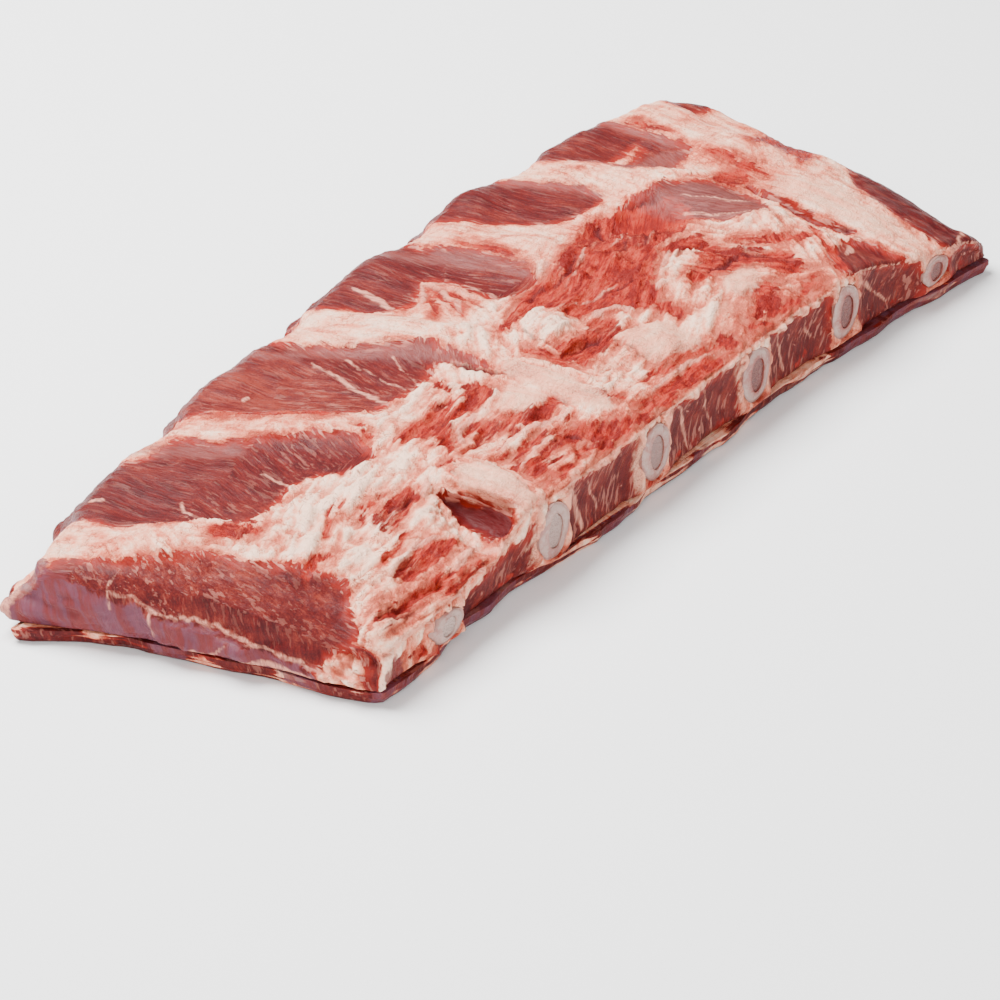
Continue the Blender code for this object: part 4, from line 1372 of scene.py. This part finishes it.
@dataclass(frozen=True)
class MeatFinish:
    """Moist raw meat: fat, lean and everything that lies over them."""

    name: str
    fat_roughness: float = 0.45
    lean_roughness: float = 0.40
    relief: float = 0.9

    def build(self, effects: SharedEffects) -> Material:
        """Makes the material.

        Args:
            effects: The shared node groups.

        Returns:
            The material.
        """
        material, graph, shader = new_material(self.name)
        place = place_in_mm(graph)
        grain = graph.attribute("grain", vector=True)
        fibres = graph.group(effects.fibres, Grain=grain)
        mottle = graph.group(effects.mottle, Place=place)
        fray = graph.group(effects.fray, Grain=grain, Place=place).outputs[0]
        masks = {tissue: self.border(graph, effects, tissue, fray) for tissue in RAGGED}
        colour = self.fat_colour(graph, fibres, mottle)
        lean_mask, lean_rim = masks[LEAN]
        colour = graph.mix(lean_mask, colour, self.lean_colour(graph, fibres, mottle, lean_rim, place))
        colour = self.blood_over(graph, colour, fibres, mottle, masks[BLOOD][0])
        sheer = graph.fit(fibres.outputs["Strands"], 0.28, 0.68, 0.2, 0.85)
        colour = graph.cover(colour, masks[FILM][0], sheer, FILM_GREY)
        mauve = graph.mix(graph.fit(fibres.outputs["Bundles"], 0.38, 0.62), MEMBRANE, MAUVE_RED)
        colour = graph.cover(colour, masks[MAUVE][0], 0.85, mauve)
        bare = graph.mix(graph.fit(fibres.outputs["Bundles"], 0.4, 0.62), BONE_SKIN, SHELL)
        worn = graph.fit(mottle.outputs["Grit"], 0.3, 0.6, 0.25, 0.7)
        colour = graph.cover(colour, masks[BARE][0], worn, bare)
        frayed = graph.fit(fibres.outputs["Strands"], 0.3, 0.62, 0.15, 0.75)
        colour = graph.cover(colour, masks[SINEW][0], frayed, SINEW_PALE)
        # Creases: dark clotted red, which along the grooves is also painted shade.
        deep = graph.fit(graph.attribute(CREASE.value), 0.0, 1.4, 0.55, 1.0)
        colour = graph.cover(colour, masks[CREASE][0], deep, CLOT_AND_GROOVE_SHADE)
        graph.link(colour, shader.inputs["Base Color"])
        wet = graph.plus(graph.times(mottle.outputs["Clouds"], 0.16), self.fat_roughness - 0.08)
        drop = graph.times(lean_mask, self.lean_roughness - self.fat_roughness)
        graph.link(graph.plus(wet, drop), shader.inputs["Roughness"])
        self.bump(graph, shader, fibres, mottle, lean_mask)
        shader.inputs["Specular IOR Level"].default_value = 0.1
        shader.inputs["Subsurface Weight"].default_value = 0.08
        shader.inputs["Subsurface Radius"].default_value = (1.0, 0.45, 0.3)
        shader.inputs["Subsurface Scale"].default_value = 0.0007
        return material

    def border(
        self, graph: Graph, effects: SharedEffects, tissue: Tissue, fray: NodeSocket
    ) -> tuple[NodeSocket, NodeSocket]:
        """Mask and inner rim of one tissue."""
        values = {"Fray": fray, "Ragged": RAGGED[tissue], "Soft": SOFT[tissue]}
        made = graph.group(effects.border, Depth=graph.attribute(tissue.value), **values)
        return made.outputs["Mask"], made.outputs["Rim"]

    def fat_colour(self, graph: Graph, fibres: Node, mottle: Node) -> NodeSocket:
        """Cream to pink fat, redder near red muscle, with a darker red painted shade in its hollows and
        creases.
        """
        halo = graph.fit(graph.attribute(BLOOD.value), -7.0, 0.5, 0.0, 0.42)
        near = graph.fit(graph.attribute(LEAN.value), -3.2, 0.3, 0.0, 0.3)
        tone = graph.plus(graph.attribute(PINK.value), graph.larger(halo, near))
        curds = ((mottle.outputs["Clouds"], 1.3), (mottle.outputs["Curds"], 0.6))
        specks = ((mottle.outputs["Grit"], 0.35),)
        streaks = ((fibres.outputs["Strands"], 0.5), (fibres.outputs["Bundles"], 1.1))
        tone = graph.varied(tone, curds + specks + streaks)
        colour = graph.ramp(tone, ((0.1, CREAM), (0.38, SHELL), (0.7, SALMON), (0.95, FLESH)))
        # Painted shade: darker red fat in the pits between curds and where the relief sinks, partly the
        # redder fat of torn valleys.
        pits = graph.fit(mottle.outputs["Curds"], 0.42, 0.28, 0.0, 0.35)
        hollow = graph.larger(pits, graph.times(graph.attribute(HOLLOW.value), 0.65))
        colour = graph.mix(hollow, colour, HOLLOW_SHADE_FAT)
        # Painted shade: thin darker red lines along the fat's fine creases.
        return graph.mix(graph.times(mottle.outputs["Cracks"], 0.6), colour, CRACK_SHADE_RED)

    def lean_colour(
        self, graph: Graph, fibres: Node, mottle: Node, rim: object, place: object
    ) -> NodeSocket:
        """Dark red muscle with lighter strands, pale lines and a warm rim."""
        streaked = ((fibres.outputs["Strands"], 1.3), (fibres.outputs["Bundles"], 1.4))
        mottled = ((mottle.outputs["Clouds"], 1.0), (mottle.outputs["Grit"], 1.1))
        tone = graph.varied(graph.attribute(DARK.value), streaked + mottled)
        colour = graph.ramp(tone, ((0.05, LEAN_LIGHT), (0.38, LEAN_MID), (0.7, LEAN_DEEP), (1.0, LEAN_DARK)))
        warm = graph.times(rim, graph.fit(mottle.outputs["Clouds"], 0.3, 0.55, 0.25, 0.95))
        colour = graph.mix(warm, colour, LEAN_WARM)
        veined = graph.attribute(VEIN.value)
        share = graph.larger(graph.times(rim, 0.8), graph.times(veined, 0.75))
        colour = graph.mix(graph.times(fibres.outputs["Lines"], share, clamp=True), colour, LEAN_LINE)
        veins = graph.noise(graph.stretched(place, (0.28, 0.28, 0.28)), 5.0, 0.62, 0.8)
        threshold = graph.minus(0.78, graph.times(veined, 0.22))
        seen = graph.fit(graph.minus(veins, threshold), 0.0, 0.05)
        return graph.mix(graph.times(seen, 0.75), colour, LEAN_LINE)

    def blood_over(
        self, graph: Graph, under: object, fibres: Node, mottle: Node, mask: object
    ) -> NodeSocket:
        """Torn red muscle and blood, with what lies below showing between its strands."""
        parts = ((fibres.outputs["Bundles"], 1.0), (mottle.outputs["Clouds"], 1.2))
        tone = graph.varied(fibres.outputs["Strands"], parts)
        colour = graph.ramp(tone, ((0.38, BLOOD_DEEP), (0.52, BLOOD_MID), (0.74, BLOOD_LIGHT)))
        thick = graph.plus(fibres.outputs["Bundles"], fibres.outputs["Strands"])
        return graph.cover(under, mask, graph.fit(thick, 1.3, 0.95, 0.55, 1.0), colour)

    def bump(
        self, graph: Graph, shader: Node, fibres: Node, mottle: Node, lean: object
    ) -> None:
        """Fine relief: fibres on the lean and curds on the fat."""
        difference = graph.times(graph.minus(fibres.outputs["Height"], mottle.outputs["Height"]), lean)
        height = graph.plus(mottle.outputs["Height"], difference)
        bump = graph.node("ShaderNodeBump", {"Strength": 0.8, "Distance": self.relief * MM, "Height": height})
        graph.link(bump.outputs[0], shader.inputs["Normal"])


@dataclass(frozen=True)
class BoneFinish:
    """Sawn bone: a hard grey-white wall that turns spongy and redder towards the marrow."""

    name: str = "sawn_bone"

    def build(self, effects: SharedEffects) -> Material:
        """Makes the material.

        Args:
            effects: The shared node groups.

        Returns:
            The material.
        """
        material, graph, shader = new_material(self.name)
        place = place_in_mm(graph)
        mottle = graph.group(effects.mottle, Place=place, Size=0.6)
        tone = graph.varied(graph.attribute("inner"), ((mottle.outputs["Curds"], 1.1),))
        stops = ((0.0, BONE_SPONGE), (0.25, BONE_WALL), (0.65, BONE_SPONGE), (1.0, BONE_RED))
        colour = graph.ramp(tone, stops)
        smear = graph.fit(mottle.outputs["Clouds"], 0.46, 0.62, 0.0, 0.6)
        colour = graph.mix(smear, colour, BONE_RED)
        graph.link(colour, shader.inputs["Base Color"])
        graph.link(graph.fit(mottle.outputs["Curds"], 0.3, 0.7, 0.42, 0.6), shader.inputs["Roughness"])
        relief = {"Strength": 0.6, "Distance": 0.25 * MM, "Height": mottle.outputs["Height"]}
        bump = graph.node("ShaderNodeBump", relief)
        graph.link(bump.outputs[0], shader.inputs["Normal"])
        return material


@dataclass(frozen=True)
class MarrowFinish:
    """Red-brown marrow between thin pale walls of spongy bone."""

    name: str = "marrow"

    def build(self, effects: SharedEffects) -> Material:
        """Makes the material.

        Args:
            effects: The shared node groups.

        Returns:
            The material.
        """
        material, graph, shader = new_material(self.name)
        place = place_in_mm(graph)
        mottle = graph.group(effects.mottle, Place=place, Size=0.8)
        grid = {"Vector": place, "Scale": 0.9}
        cells = graph.node("ShaderNodeTexVoronoi", grid, feature="DISTANCE_TO_EDGE")
        walls = graph.fit(cells.outputs["Distance"], 0.16, 0.03)
        colour = graph.ramp(mottle.outputs["Curds"], ((0.3, MARROW_DEEP), (0.6, MARROW_RED)))
        pale = graph.attribute("pale")
        colour = graph.mix(graph.times(walls, 0.4), colour, BONE_SPONGE)
        colour = graph.mix(pale, colour, BONE_WALL)
        graph.link(colour, shader.inputs["Base Color"])
        graph.link(graph.fit(walls, 0.0, 1.0, 0.4, 0.6), shader.inputs["Roughness"])
        bump = graph.node("ShaderNodeBump", {"Strength": 0.8, "Distance": 0.4 * MM, "Height": walls})
        graph.link(bump.outputs[0], shader.inputs["Normal"])
        return material


def ringed_mesh(name: str, rings: Sequence[np.ndarray], joined: bool = False) -> Mesh:
    """Skins rings of points, given in plan millimetres.

    Args:
        name: The mesh's name.
        rings: Rings with equally many points.
        joined: Whether the last ring joins the first. Otherwise a face closes each end.

    Returns:
        The mesh, with its faces pointing out.
    """
    bm = bmesh.new()
    skin = [[bm.verts.new(point) for point in to_row(ring)] for ring in rings]
    for ring, following in zip(skin, skin[1:] + skin[:1] if joined else skin[1:]):
        for k in range(len(ring)):
            after = (k + 1) % len(ring)
            bm.faces.new((ring[k], ring[after], following[after], following[k]))
    if not joined:
        bm.faces.new(skin[0])
        bm.faces.new(skin[-1])
    bmesh.ops.recalc_face_normals(bm, faces=bm.faces)
    mesh = bpy.data.meshes.new(name)
    bm.to_mesh(mesh)
    bm.free()
    return mesh


@dataclass
class RibBone:
    """One sawn rib: its uneven oval wall, its marrow, and the channel it needs in the meat."""

    number: int
    line: RibLine
    noise: Noise
    sides: int = 56
    stations: int = 26
    wall_rings: int = 7
    marrow_share_width: float = 0.46
    marrow_share_height: float = 0.62
    marrow_gap: float = 0.16
    marrow_sinks: float = 0.5
    uneven: float = 0.13
    edge_set_back: float = 0.6
    pale_marrow: float = 0.0

    def turns(self, sides: int) -> np.ndarray:
        """Angles round the bone."""
        return np.linspace(0.0, 2.0 * math.pi, sides, endpoint=False)

    def ring(
        self, y: float, sides: int, share: tuple[float, float] = (1.0, 1.0), grow: float = 0.0
    ) -> np.ndarray:
        """One uneven oval across the bone.

        Args:
            y: Place across the rack.
            sides: Points on the ring.
            share: Width and height as shares of the outer wall's.
            grow: Added all round, in mm.

        Returns:
            The ring's points in plan millimetres.
        """
        x, z, half_width, half_height = self.line.at(y)
        turn = self.turns(sides)
        spin = np.column_stack([np.cos(turn), np.sin(turn), np.full(sides, 3.1 * self.number)])
        swell = 1.0 - self.uneven * (0.5 + 0.5 * self.noise.at(spin * 1.3 + 0.01 * y, 1.0))
        wide = half_width * share[0] * swell + grow
        high = half_height * share[1] * swell + grow
        return np.column_stack([x + wide * np.cos(turn), np.full(sides, y), z + high * np.sin(turn)])

    def reach(self) -> np.ndarray:
        """Places across the rack of the rings, from the sawn end to the free end."""
        return np.linspace(self.line.y[0], self.line.y[-1], self.stations)

    def channel(self, grow: float, beyond: float, sides: int = 40) -> Mesh:
        """A rod that follows the outer wall, grown all round and longer at both ends."""
        rings = [self.ring(y, sides, grow=grow) for y in self.line.y]
        first, last = rings[0].copy(), rings[-1].copy()
        first[:, 1] -= beyond
        last[:, 1] += beyond
        between = rings if beyond > 0.0 else rings[1:-1]
        rings = [first, *between, last]
        return ringed_mesh(f"channel_{self.number}", rings)

    def build_wall(self, finish: Material) -> Object:
        """The bone's hard wall: an open tube whose sawn ends are finely ringed.

        Args:
            finish: The bone's material.

        Returns:
            The piece.
        """
        bore = (self.marrow_share_width, self.marrow_share_height)
        places = self.reach()
        outer = [self.ring(y, self.sides) for y in places]
        outer[0][:, 1] += self.edge_set_back
        outer[-1][:, 1] -= self.edge_set_back
        inner = [self.ring(y, self.sides, bore, self.marrow_gap) for y in places[::-1]]
        free_end = self.end_rings(outer[-1], inner[0], True)
        sawn_end = self.end_rings(inner[-1], outer[0], False)
        mesh = ringed_mesh(f"bone_wall_{self.number}", [*outer, *free_end, *inner, *sawn_end], joined=True)
        across = np.linspace(0.0, 1.0, self.wall_rings + 2)[1:-1]
        spread = [np.zeros(len(outer)), across, np.ones(len(inner)), across[::-1]]
        store(mesh, "inner", np.repeat(np.concatenate(spread), self.sides) * (1.0 - 0.6 * self.pale_marrow))
        mesh.shade_smooth()
        mesh.set_sharp_from_angle(angle=math.radians(50.0))
        mesh.materials.append(finish)
        piece = new_piece(f"bone_{self.number}", mesh)
        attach(piece, "root")
        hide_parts(f"rib_bone_{self.number}")
        return piece

    def end_rings(self, start: np.ndarray, end: np.ndarray, is_wall_first: bool) -> list[np.ndarray]:
        """Rings between the two edges of a sawn end, with the saw's slight roughness.

        Args:
            start: The edge to begin at.
            end: The edge to finish at.
            is_wall_first: Whether the first edge is the outer one.

        Returns:
            The rings between them.
        """
        rings = []
        for share in np.linspace(0.0, 1.0, self.wall_rings + 2)[1:-1]:
            ring = start + (end - start) * share
            inward = 1.0 if start[0, 1] < 0.0 else -1.0
            outer_share = share if is_wall_first else 1.0 - share
            saw_marks = 0.22 * (0.4 + self.noise.fractal(ring, 2.4, 2))
            ring[:, 1] += inward * (saw_marks + 0.5 * ease(0.3, 0.0, outer_share))
            rings.append(ring)
        return rings

    def build_marrow(self, finish: Material) -> Object:
        """The marrow core, a little sunk at both ends.

        Args:
            finish: The marrow's material.

        Returns:
            The piece.
        """
        share = (self.marrow_share_width, self.marrow_share_height)
        low, high = self.line.y[0] + self.marrow_sinks, self.line.y[-1] - self.marrow_sinks
        places = np.linspace(low, high, self.stations)
        body = [self.ring(y, self.sides, share) for y in places]
        sizes = (0.04, 0.25, 0.5, 0.75, 0.92)
        first = [self.shrunk(body[0], size) for size in sizes]
        last = [self.shrunk(body[-1], size) for size in sizes[::-1]]
        mesh = ringed_mesh(f"marrow_core_{self.number}", [*first, *body, *last])
        store(mesh, "pale", np.full(len(mesh.vertices), self.pale_marrow))
        mesh.shade_smooth()
        mesh.materials.append(finish)
        piece = new_piece(f"marrow_core_{self.number}", mesh)
        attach(piece, "root")
        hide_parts(f"marrow_{self.number}")
        return piece

    def shrunk(self, ring: np.ndarray, size: float) -> np.ndarray:
        """A ring drawn in towards its middle, with an uneven face."""
        middle = ring.mean(axis=0)
        smaller = middle + (ring - middle) * size
        smaller[:, 1] += 0.25 * self.noise.fractal(smaller, 2.0, 2)
        return smaller


@dataclass
class MeatSlab:
    """The slab of rib meat and fat, as one fine closed mesh with a channel for each bone."""

    surface: MeatSurface
    bones: list[RibBone]
    cell: float = 1.02
    floor: float = 5.36
    plug_grow: float = 0.9
    plug_inset: float = 1.3
    channel_gap: float = 0.16
    channel_beyond: float = 12.0
    crest: float = 0.9

    def build(self, finish: Material) -> Object:
        """Makes the slab.

        Args:
            finish: Its material.

        Returns:
            The piece.
        """
        mesh = self.levelled(self.remeshed())
        plan = to_plan(vertex_places(mesh))
        normals = vertex_normals(mesh, 6)
        layer = self.surface.layers(plan, normals)
        mesh, origin = self.carved(mesh, plan, normals, layer)
        self.dress(mesh, layer, plan, normals, origin)
        mesh.materials.clear()
        mesh.materials.append(finish)
        mesh.shade_smooth()
        piece = new_piece("meat_slab", mesh)
        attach(piece, "root")
        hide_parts("rib_meat")
        return piece

    def remeshed(self) -> Mesh:
        """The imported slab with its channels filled, as one even skin of small faces."""
        bm = bmesh.new()
        bm.from_mesh(frame["nodes"]["rib_meat"].data)
        bmesh.ops.remove_doubles(bm, verts=bm.verts, dist=1e-6)
        for bone in self.bones:
            plug = bone.channel(self.plug_grow, -self.plug_inset)
            bm.from_mesh(plug)
            bpy.data.meshes.remove(plug)
        joined = bpy.data.meshes.new("slab_and_plugs")
        bm.to_mesh(joined)
        bm.free()
        carrier = new_piece("slab_carrier", joined)
        remesh = carrier.modifiers.new("skin", "REMESH")
        remesh.mode = "VOXEL"
        remesh.voxel_size = self.cell * MM
        made = evaluated_mesh(carrier)
        bpy.data.objects.remove(carrier)
        return made

    def levelled(self, mesh: Mesh) -> Mesh:
        """Gives the slab one flat face below, where it lies on the cover meat."""
        bm = bmesh.new()
        bm.from_mesh(mesh)
        geometry = list(bm.verts) + list(bm.edges) + list(bm.faces)
        plane = {"plane_co": (0.0, 0.0, self.floor * MM), "plane_no": (0.0, 0.0, 1.0)}
        cut = bmesh.ops.bisect_plane(bm, geom=geometry, dist=1e-7, clear_inner=True, **plane)
        rim = [item for item in cut["geom_cut"] if isinstance(item, BMEdge)]
        bmesh.ops.contextual_create(bm, geom=rim)
        bmesh.ops.recalc_face_normals(bm, faces=bm.faces)
        bm.to_mesh(mesh)
        bm.free()
        return mesh

    def carved(
        self, mesh: Mesh, plan: np.ndarray, normals: np.ndarray, layer: Layer
    ) -> tuple[Mesh, np.ndarray]:
        """Adds the relief and opens the bone channels.

        Args:
            mesh: The smooth slab.
            plan: Its vertices in plan millimetres.
            normals: Direction that it looks at each vertex.
            layer: The relief.

        Returns:
            The finished mesh, and the smooth slab's vertex that each of its vertices comes from.
        """
        hold = ease(0.0, 3.0, plan[:, 2] - self.floor)
        top = plan[:, 2].max()
        plan = plan + normals * (layer.height * hold)[:, None]
        over = np.maximum(plan[:, 2] - top, 0.0)
        plan[:, 2] = np.minimum(plan[:, 2], top) + self.crest * np.tanh(over / self.crest)
        plan[:, 2] = np.maximum(plan[:, 2], self.floor)
        mesh.vertices.foreach_set("co", to_row(plan).astype(np.float32).ravel())
        mesh.update()
        carrier = new_piece("carved_slab", mesh)
        cutters = bpy.data.collections.new("bone_channels")
        bpy.context.scene.collection.children.link(cutters)
        for bone in self.bones:
            channel = bone.channel(self.channel_gap, self.channel_beyond)
            cutters.objects.link(bpy.data.objects.new(channel.name, channel))
        cut = carrier.modifiers.new("channels", "BOOLEAN")
        cut.operation = "DIFFERENCE"
        cut.operand_type = "COLLECTION"
        cut.collection = cutters
        cut.solver = "EXACT"
        made = evaluated_mesh(carrier)
        bpy.data.objects.remove(carrier)
        for channel in list(cutters.objects):
            bpy.data.objects.remove(channel)
        bpy.data.collections.remove(cutters)
        tree = KDTree(len(plan))
        for index, place in enumerate(to_row(plan)):
            tree.insert(place, index)
        tree.balance()
        origin = np.array([tree.find(vertex.co)[1] for vertex in made.vertices])
        return made, origin

    def dress(
        self, mesh: Mesh, layer: Layer, plan: np.ndarray, normals: np.ndarray, origin: np.ndarray
    ) -> None:
        """Stores what the finish reads: depth inside each tissue, tones and fibre coordinates.

        Args:
            mesh: The finished mesh.
            layer: Tissue and tones of the smooth slab.
            plan: The smooth slab's vertices in plan millimetres.
            normals: Direction that the smooth slab looks at each vertex.
            origin: The smooth slab's vertex that each vertex of the mesh comes from.
        """
        layer.store_on(mesh, origin)
        store_grain(mesh, self.surface, plan[origin], normals[origin])


def store_grain(mesh: Mesh, surface: MeatSurface, plan: np.ndarray, normals: np.ndarray) -> None:
    """Stores fibre coordinates at face corners, so that they may jump where the grain changes.

    Args:
        mesh: The mesh.
        surface: What knows the grain.
        plan: A place for each vertex, in plan millimetres.
        normals: Direction that the surface looks at each vertex.
    """
    corners = np.empty(len(mesh.loops), np.int32)
    mesh.loops.foreach_get("vertex_index", corners)
    totals = np.empty(len(mesh.polygons), np.int32)
    mesh.polygons.foreach_get("loop_total", totals)
    starts = np.concatenate([[0], np.cumsum(totals)[:-1]])
    area, frames = surface.grain_of(plan, normals)
    owner = np.repeat(area[corners[starts]], totals)
    store(mesh, "grain", surface.grain_places(plan[corners], owner, frames), "CORNER")


@dataclass
class CoverMeat:
    """The thin sheet of cover meat below the slab, with a soft layered edge."""

    surface: MeatSurface
    spacing: float = 1.0
    levels: int = 8
    bulge: float = 0.5
    inset: float = 0.1

    def rings(self) -> list[np.ndarray]:
        """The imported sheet's outline at its foot and at its top."""
        bm = bmesh.new()
        bm.from_mesh(frame["nodes"]["cover_meat"].data)
        bmesh.ops.remove_doubles(bm, verts=bm.verts, dist=1e-6)
        bm.faces.ensure_lookup_table()
        heights = sorted({round(vertex.co.z, 5) for vertex in bm.verts})
        loops = []
        for height in (heights[0], heights[-1]):
            edges = [edge for edge in bm.edges if self.bounds_flat(edge, height)]
            loops.append(self.chained(edges))
        bm.free()
        return loops

    def bounds_flat(self, edge: BMEdge, height: float) -> bool:
        """Whether an edge lies between a flat face at a height and a side face."""
        if any(abs(vertex.co.z - height) > 1e-5 for vertex in edge.verts):
            return False
        flat = [all(abs(vertex.co.z - height) < 1e-5 for vertex in face.verts) for face in edge.link_faces]
        return len(flat) == 2 and flat[0] != flat[1]

    def chained(self, edges: Sequence[BMEdge]) -> np.ndarray:
        """Vertices of a closed chain of edges, in order, in plan millimetres."""
        neighbours: dict[BMVert, list[BMVert]] = {}
        for edge in edges:
            for vertex in edge.verts:
                neighbours.setdefault(vertex, []).append(edge.other_vert(vertex))
        start = min(neighbours, key=lambda vertex: (vertex.co.x, vertex.co.y))
        chain = [start, max(neighbours[start], key=lambda vertex: vertex.co.y)]
        while chain[-1] is not start:
            following = [vertex for vertex in neighbours[chain[-1]] if vertex is not chain[-2]]
            chain.append(following[0])
        return to_plan(np.array([vertex.co[:] for vertex in chain[:-1]], float))

    def build(self, finish: Material) -> Object:
        """Makes the sheet.

        Args:
            finish: Its material.

        Returns:
            The piece.
        """
        foot, top = self.rings()
        around = np.vstack([top, top[:1]])
        length = np.concatenate([[0.0], np.cumsum(np.linalg.norm(np.diff(around, axis=0), axis=1))])
        places = np.arange(0.0, length[-1], self.spacing)
        top_line = np.column_stack([np.interp(places, length, around[:, axis]) for axis in range(3)])
        pairs = np.linalg.norm(top[:, None, :2] - foot[None, :, :2], axis=2).argmin(axis=1)
        partners = np.vstack([foot[pairs], foot[pairs][:1]])
        foot_line = np.column_stack([np.interp(places, length, partners[:, axis]) for axis in range(3)])
        tangent = np.roll(top_line, -1, axis=0) - np.roll(top_line, 1, axis=0)
        outward = np.column_stack([-tangent[:, 1], tangent[:, 0], np.zeros(len(tangent))])
        outward /= np.linalg.norm(outward, axis=1, keepdims=True).clip(1e-9)
        outward *= np.sign(np.sum(outward * (top_line - top_line.mean(axis=0)), axis=1).sum())
        rings = []
        for share in np.linspace(0.0, 1.0, self.levels + 1):
            ring = foot_line + (top_line - foot_line) * share
            belly = self.bulge * math.sin(math.pi * share)
            layers = self.surface.noise.fractal(ring, (16.0, 16.0, 1.8), 3)
            ring = ring + outward * (belly * (1.0 + 1.6 * layers) - self.inset)[:, None]
            rings.append(ring)
        inner = rings[-1] - outward * 1.4
        rings = [rings[0] - outward * 1.0, *rings, inner]
        mesh = ringed_mesh("cover_sheet", rings)
        plan = to_plan(vertex_places(mesh))
        self.dress(mesh, plan)
        mesh.materials.append(finish)
        mesh.shade_smooth()
        mesh.set_sharp_from_angle(angle=math.radians(60.0))
        piece = new_piece("cover_sheet", mesh)
        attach(piece, "root")
        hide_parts("cover_meat")
        return piece

    def dress(self, mesh: Mesh, plan: np.ndarray) -> None:
        """Stores tissue and tones: lean with layers of fat between."""
        noise = self.surface.noise
        layer = Layer(len(plan))
        layers = noise.fractal(plan, (30.0, 30.0, 1.7), 3)
        wander = noise.fractal(plan + 70.0, 26.0, 3)
        # Fat thickens towards the sheet's top: partly its pale fat edge, partly painted light where the
        # slab's shadow falls.
        lean = 7.0 - 24.0 * (layers + 0.9 * wander + 0.3 * ease(2.5, 5.0, plan[:, 2]) - 0.06).clip(0.0)
        layer.depths[LEAN] = np.clip(lean, -REACH, REACH)
        layer.depths[MAUVE] = np.clip(9.0 * noise.fractal(plan + 130.0, 30.0, 3) - 1.5, -REACH, REACH)
        layer.tones[DARK] += 0.1
        layer.tones[VEIN] += 0.35
        layer.store_on(mesh)
        store_grain(mesh, self.surface, plan, vertex_normals(mesh, 3))


@dataclass(frozen=True)
class Studio:
    """Pale floor, soft lights and the camera that looks down over the rack's front corner."""

    azimuth: float = -55.0
    elevation: float = 32.0
    distance: float = 2.088
    focal_px: float = 5878.0
    frame_px: float = 1000.0
    centre_px: tuple[float, float] = (498.0, 425.0)
    sensor: float = 36.0

    def build(self) -> None:
        """Makes the floor, the lights and the camera."""
        self.floor()
        self.lights()
        self.camera()

    def floor(self) -> None:
        """A plain pale floor just below the rack."""
        half, below = 6.0, -0.0004
        mesh = bpy.data.meshes.new("floor")
        corners = [(x * half, y * half, below) for x, y in ((-1, -1), (1, -1), (1, 1), (-1, 1))]
        mesh.from_pydata(corners, [], [(0, 1, 2, 3)])
        material, _, shader = new_material("floor")
        shader.inputs["Base Color"].default_value = (0.93, 0.93, 0.93, 1.0)
        shader.inputs["Roughness"].default_value = 0.9
        mesh.materials.append(material)
        new_piece("floor", mesh)

    def lights(self) -> None:
        """A large soft light overhead, a fill from the camera's side and pale light all round."""
        world = bpy.data.worlds.new("pale_room")
        world.use_nodes = True
        background = world.node_tree.nodes["Background"]
        background.inputs["Color"].default_value = (1.0, 1.0, 1.0, 1.0)
        background.inputs["Strength"].default_value = 0.45
        bpy.context.scene.world = world
        self.area_light("overhead", (-0.1, 0.55, 1.15), 0.9, 63.0)
        self.area_light("front_fill", (-1.2, -0.9, 0.8), 1.2, 26.0)

    def area_light(self, name: str, place: tuple[float, float, float], size: float, watts: float) -> None:
        """Adds a square soft light that looks at the rack."""
        data = bpy.data.lights.new(name, "AREA")
        data.size = size
        data.energy = watts
        light = bpy.data.objects.new(name, data)
        light.location = place
        light.rotation_euler = (-Vector(place)).to_track_quat("-Z", "Y").to_euler()
        bpy.context.scene.collection.objects.link(light)

    def camera(self) -> None:
        """Places the camera where the picture was taken from."""
        azimuth, elevation = math.radians(self.azimuth), math.radians(self.elevation)
        flat = math.cos(elevation)
        back = Vector((math.sin(azimuth) * flat, -math.cos(azimuth) * flat, math.sin(elevation)))
        right = (-back).cross(Vector((0.0, 0.0, 1.0))).normalized()
        up = right.cross(-back).normalized()
        per_pixel = self.distance / self.focal_px
        across = (self.centre_px[0] - self.frame_px / 2.0) * per_pixel
        above = (self.frame_px / 2.0 - self.centre_px[1]) * per_pixel
        data = bpy.data.cameras.new("camera")
        data.sensor_width = self.sensor
        data.lens = self.focal_px * self.sensor / self.frame_px
        data.clip_end = 100.0
        camera = bpy.data.objects.new("camera", data)
        camera.matrix_world = Matrix((right, up, back)).transposed().to_4x4()
        camera.location = Vector(PLAN_SHIFT * MM) + back * self.distance - right * across - up * above
        bpy.context.scene.collection.objects.link(camera)
        bpy.context.scene.camera = camera


PALE_MARROW = (1.0, 0.8, 0.4, 0.0, 0.0, 0.0)


def main() -> None:
    """Builds the rack piece by piece, then the studio."""
    logging.basicConfig(level=logging.INFO, format="%(name)s: %(message)s")
    effects = SharedEffects()
    form = RackForm()
    surface = MeatSurface(form, Noise(7))
    bone_finish = BoneFinish().build(effects)
    marrow_finish = MarrowFinish().build(effects)
    bones = []
    for number, (line, pale) in enumerate(zip(form.ribs, PALE_MARROW), start=1):
        bones.append(RibBone(number, line, Noise(20 + number), pale_marrow=pale))
    pieces = [MeatSlab(surface, bones).build(MeatFinish("raw_beef").build(effects))]
    pieces.append(CoverMeat(surface).build(MeatFinish("cover_beef", lean_roughness=0.42).build(effects)))
    for bone in bones:
        pieces.append(bone.build_wall(bone_finish))
        pieces.append(bone.build_marrow(marrow_finish))
    for piece in pieces:
        triangles = sum(len(polygon.vertices) - 2 for polygon in piece.data.polygons)
        LOG.info("%s: %d triangles", piece.name, triangles)
    Studio().build()


if __name__ == "__main__":
    main()
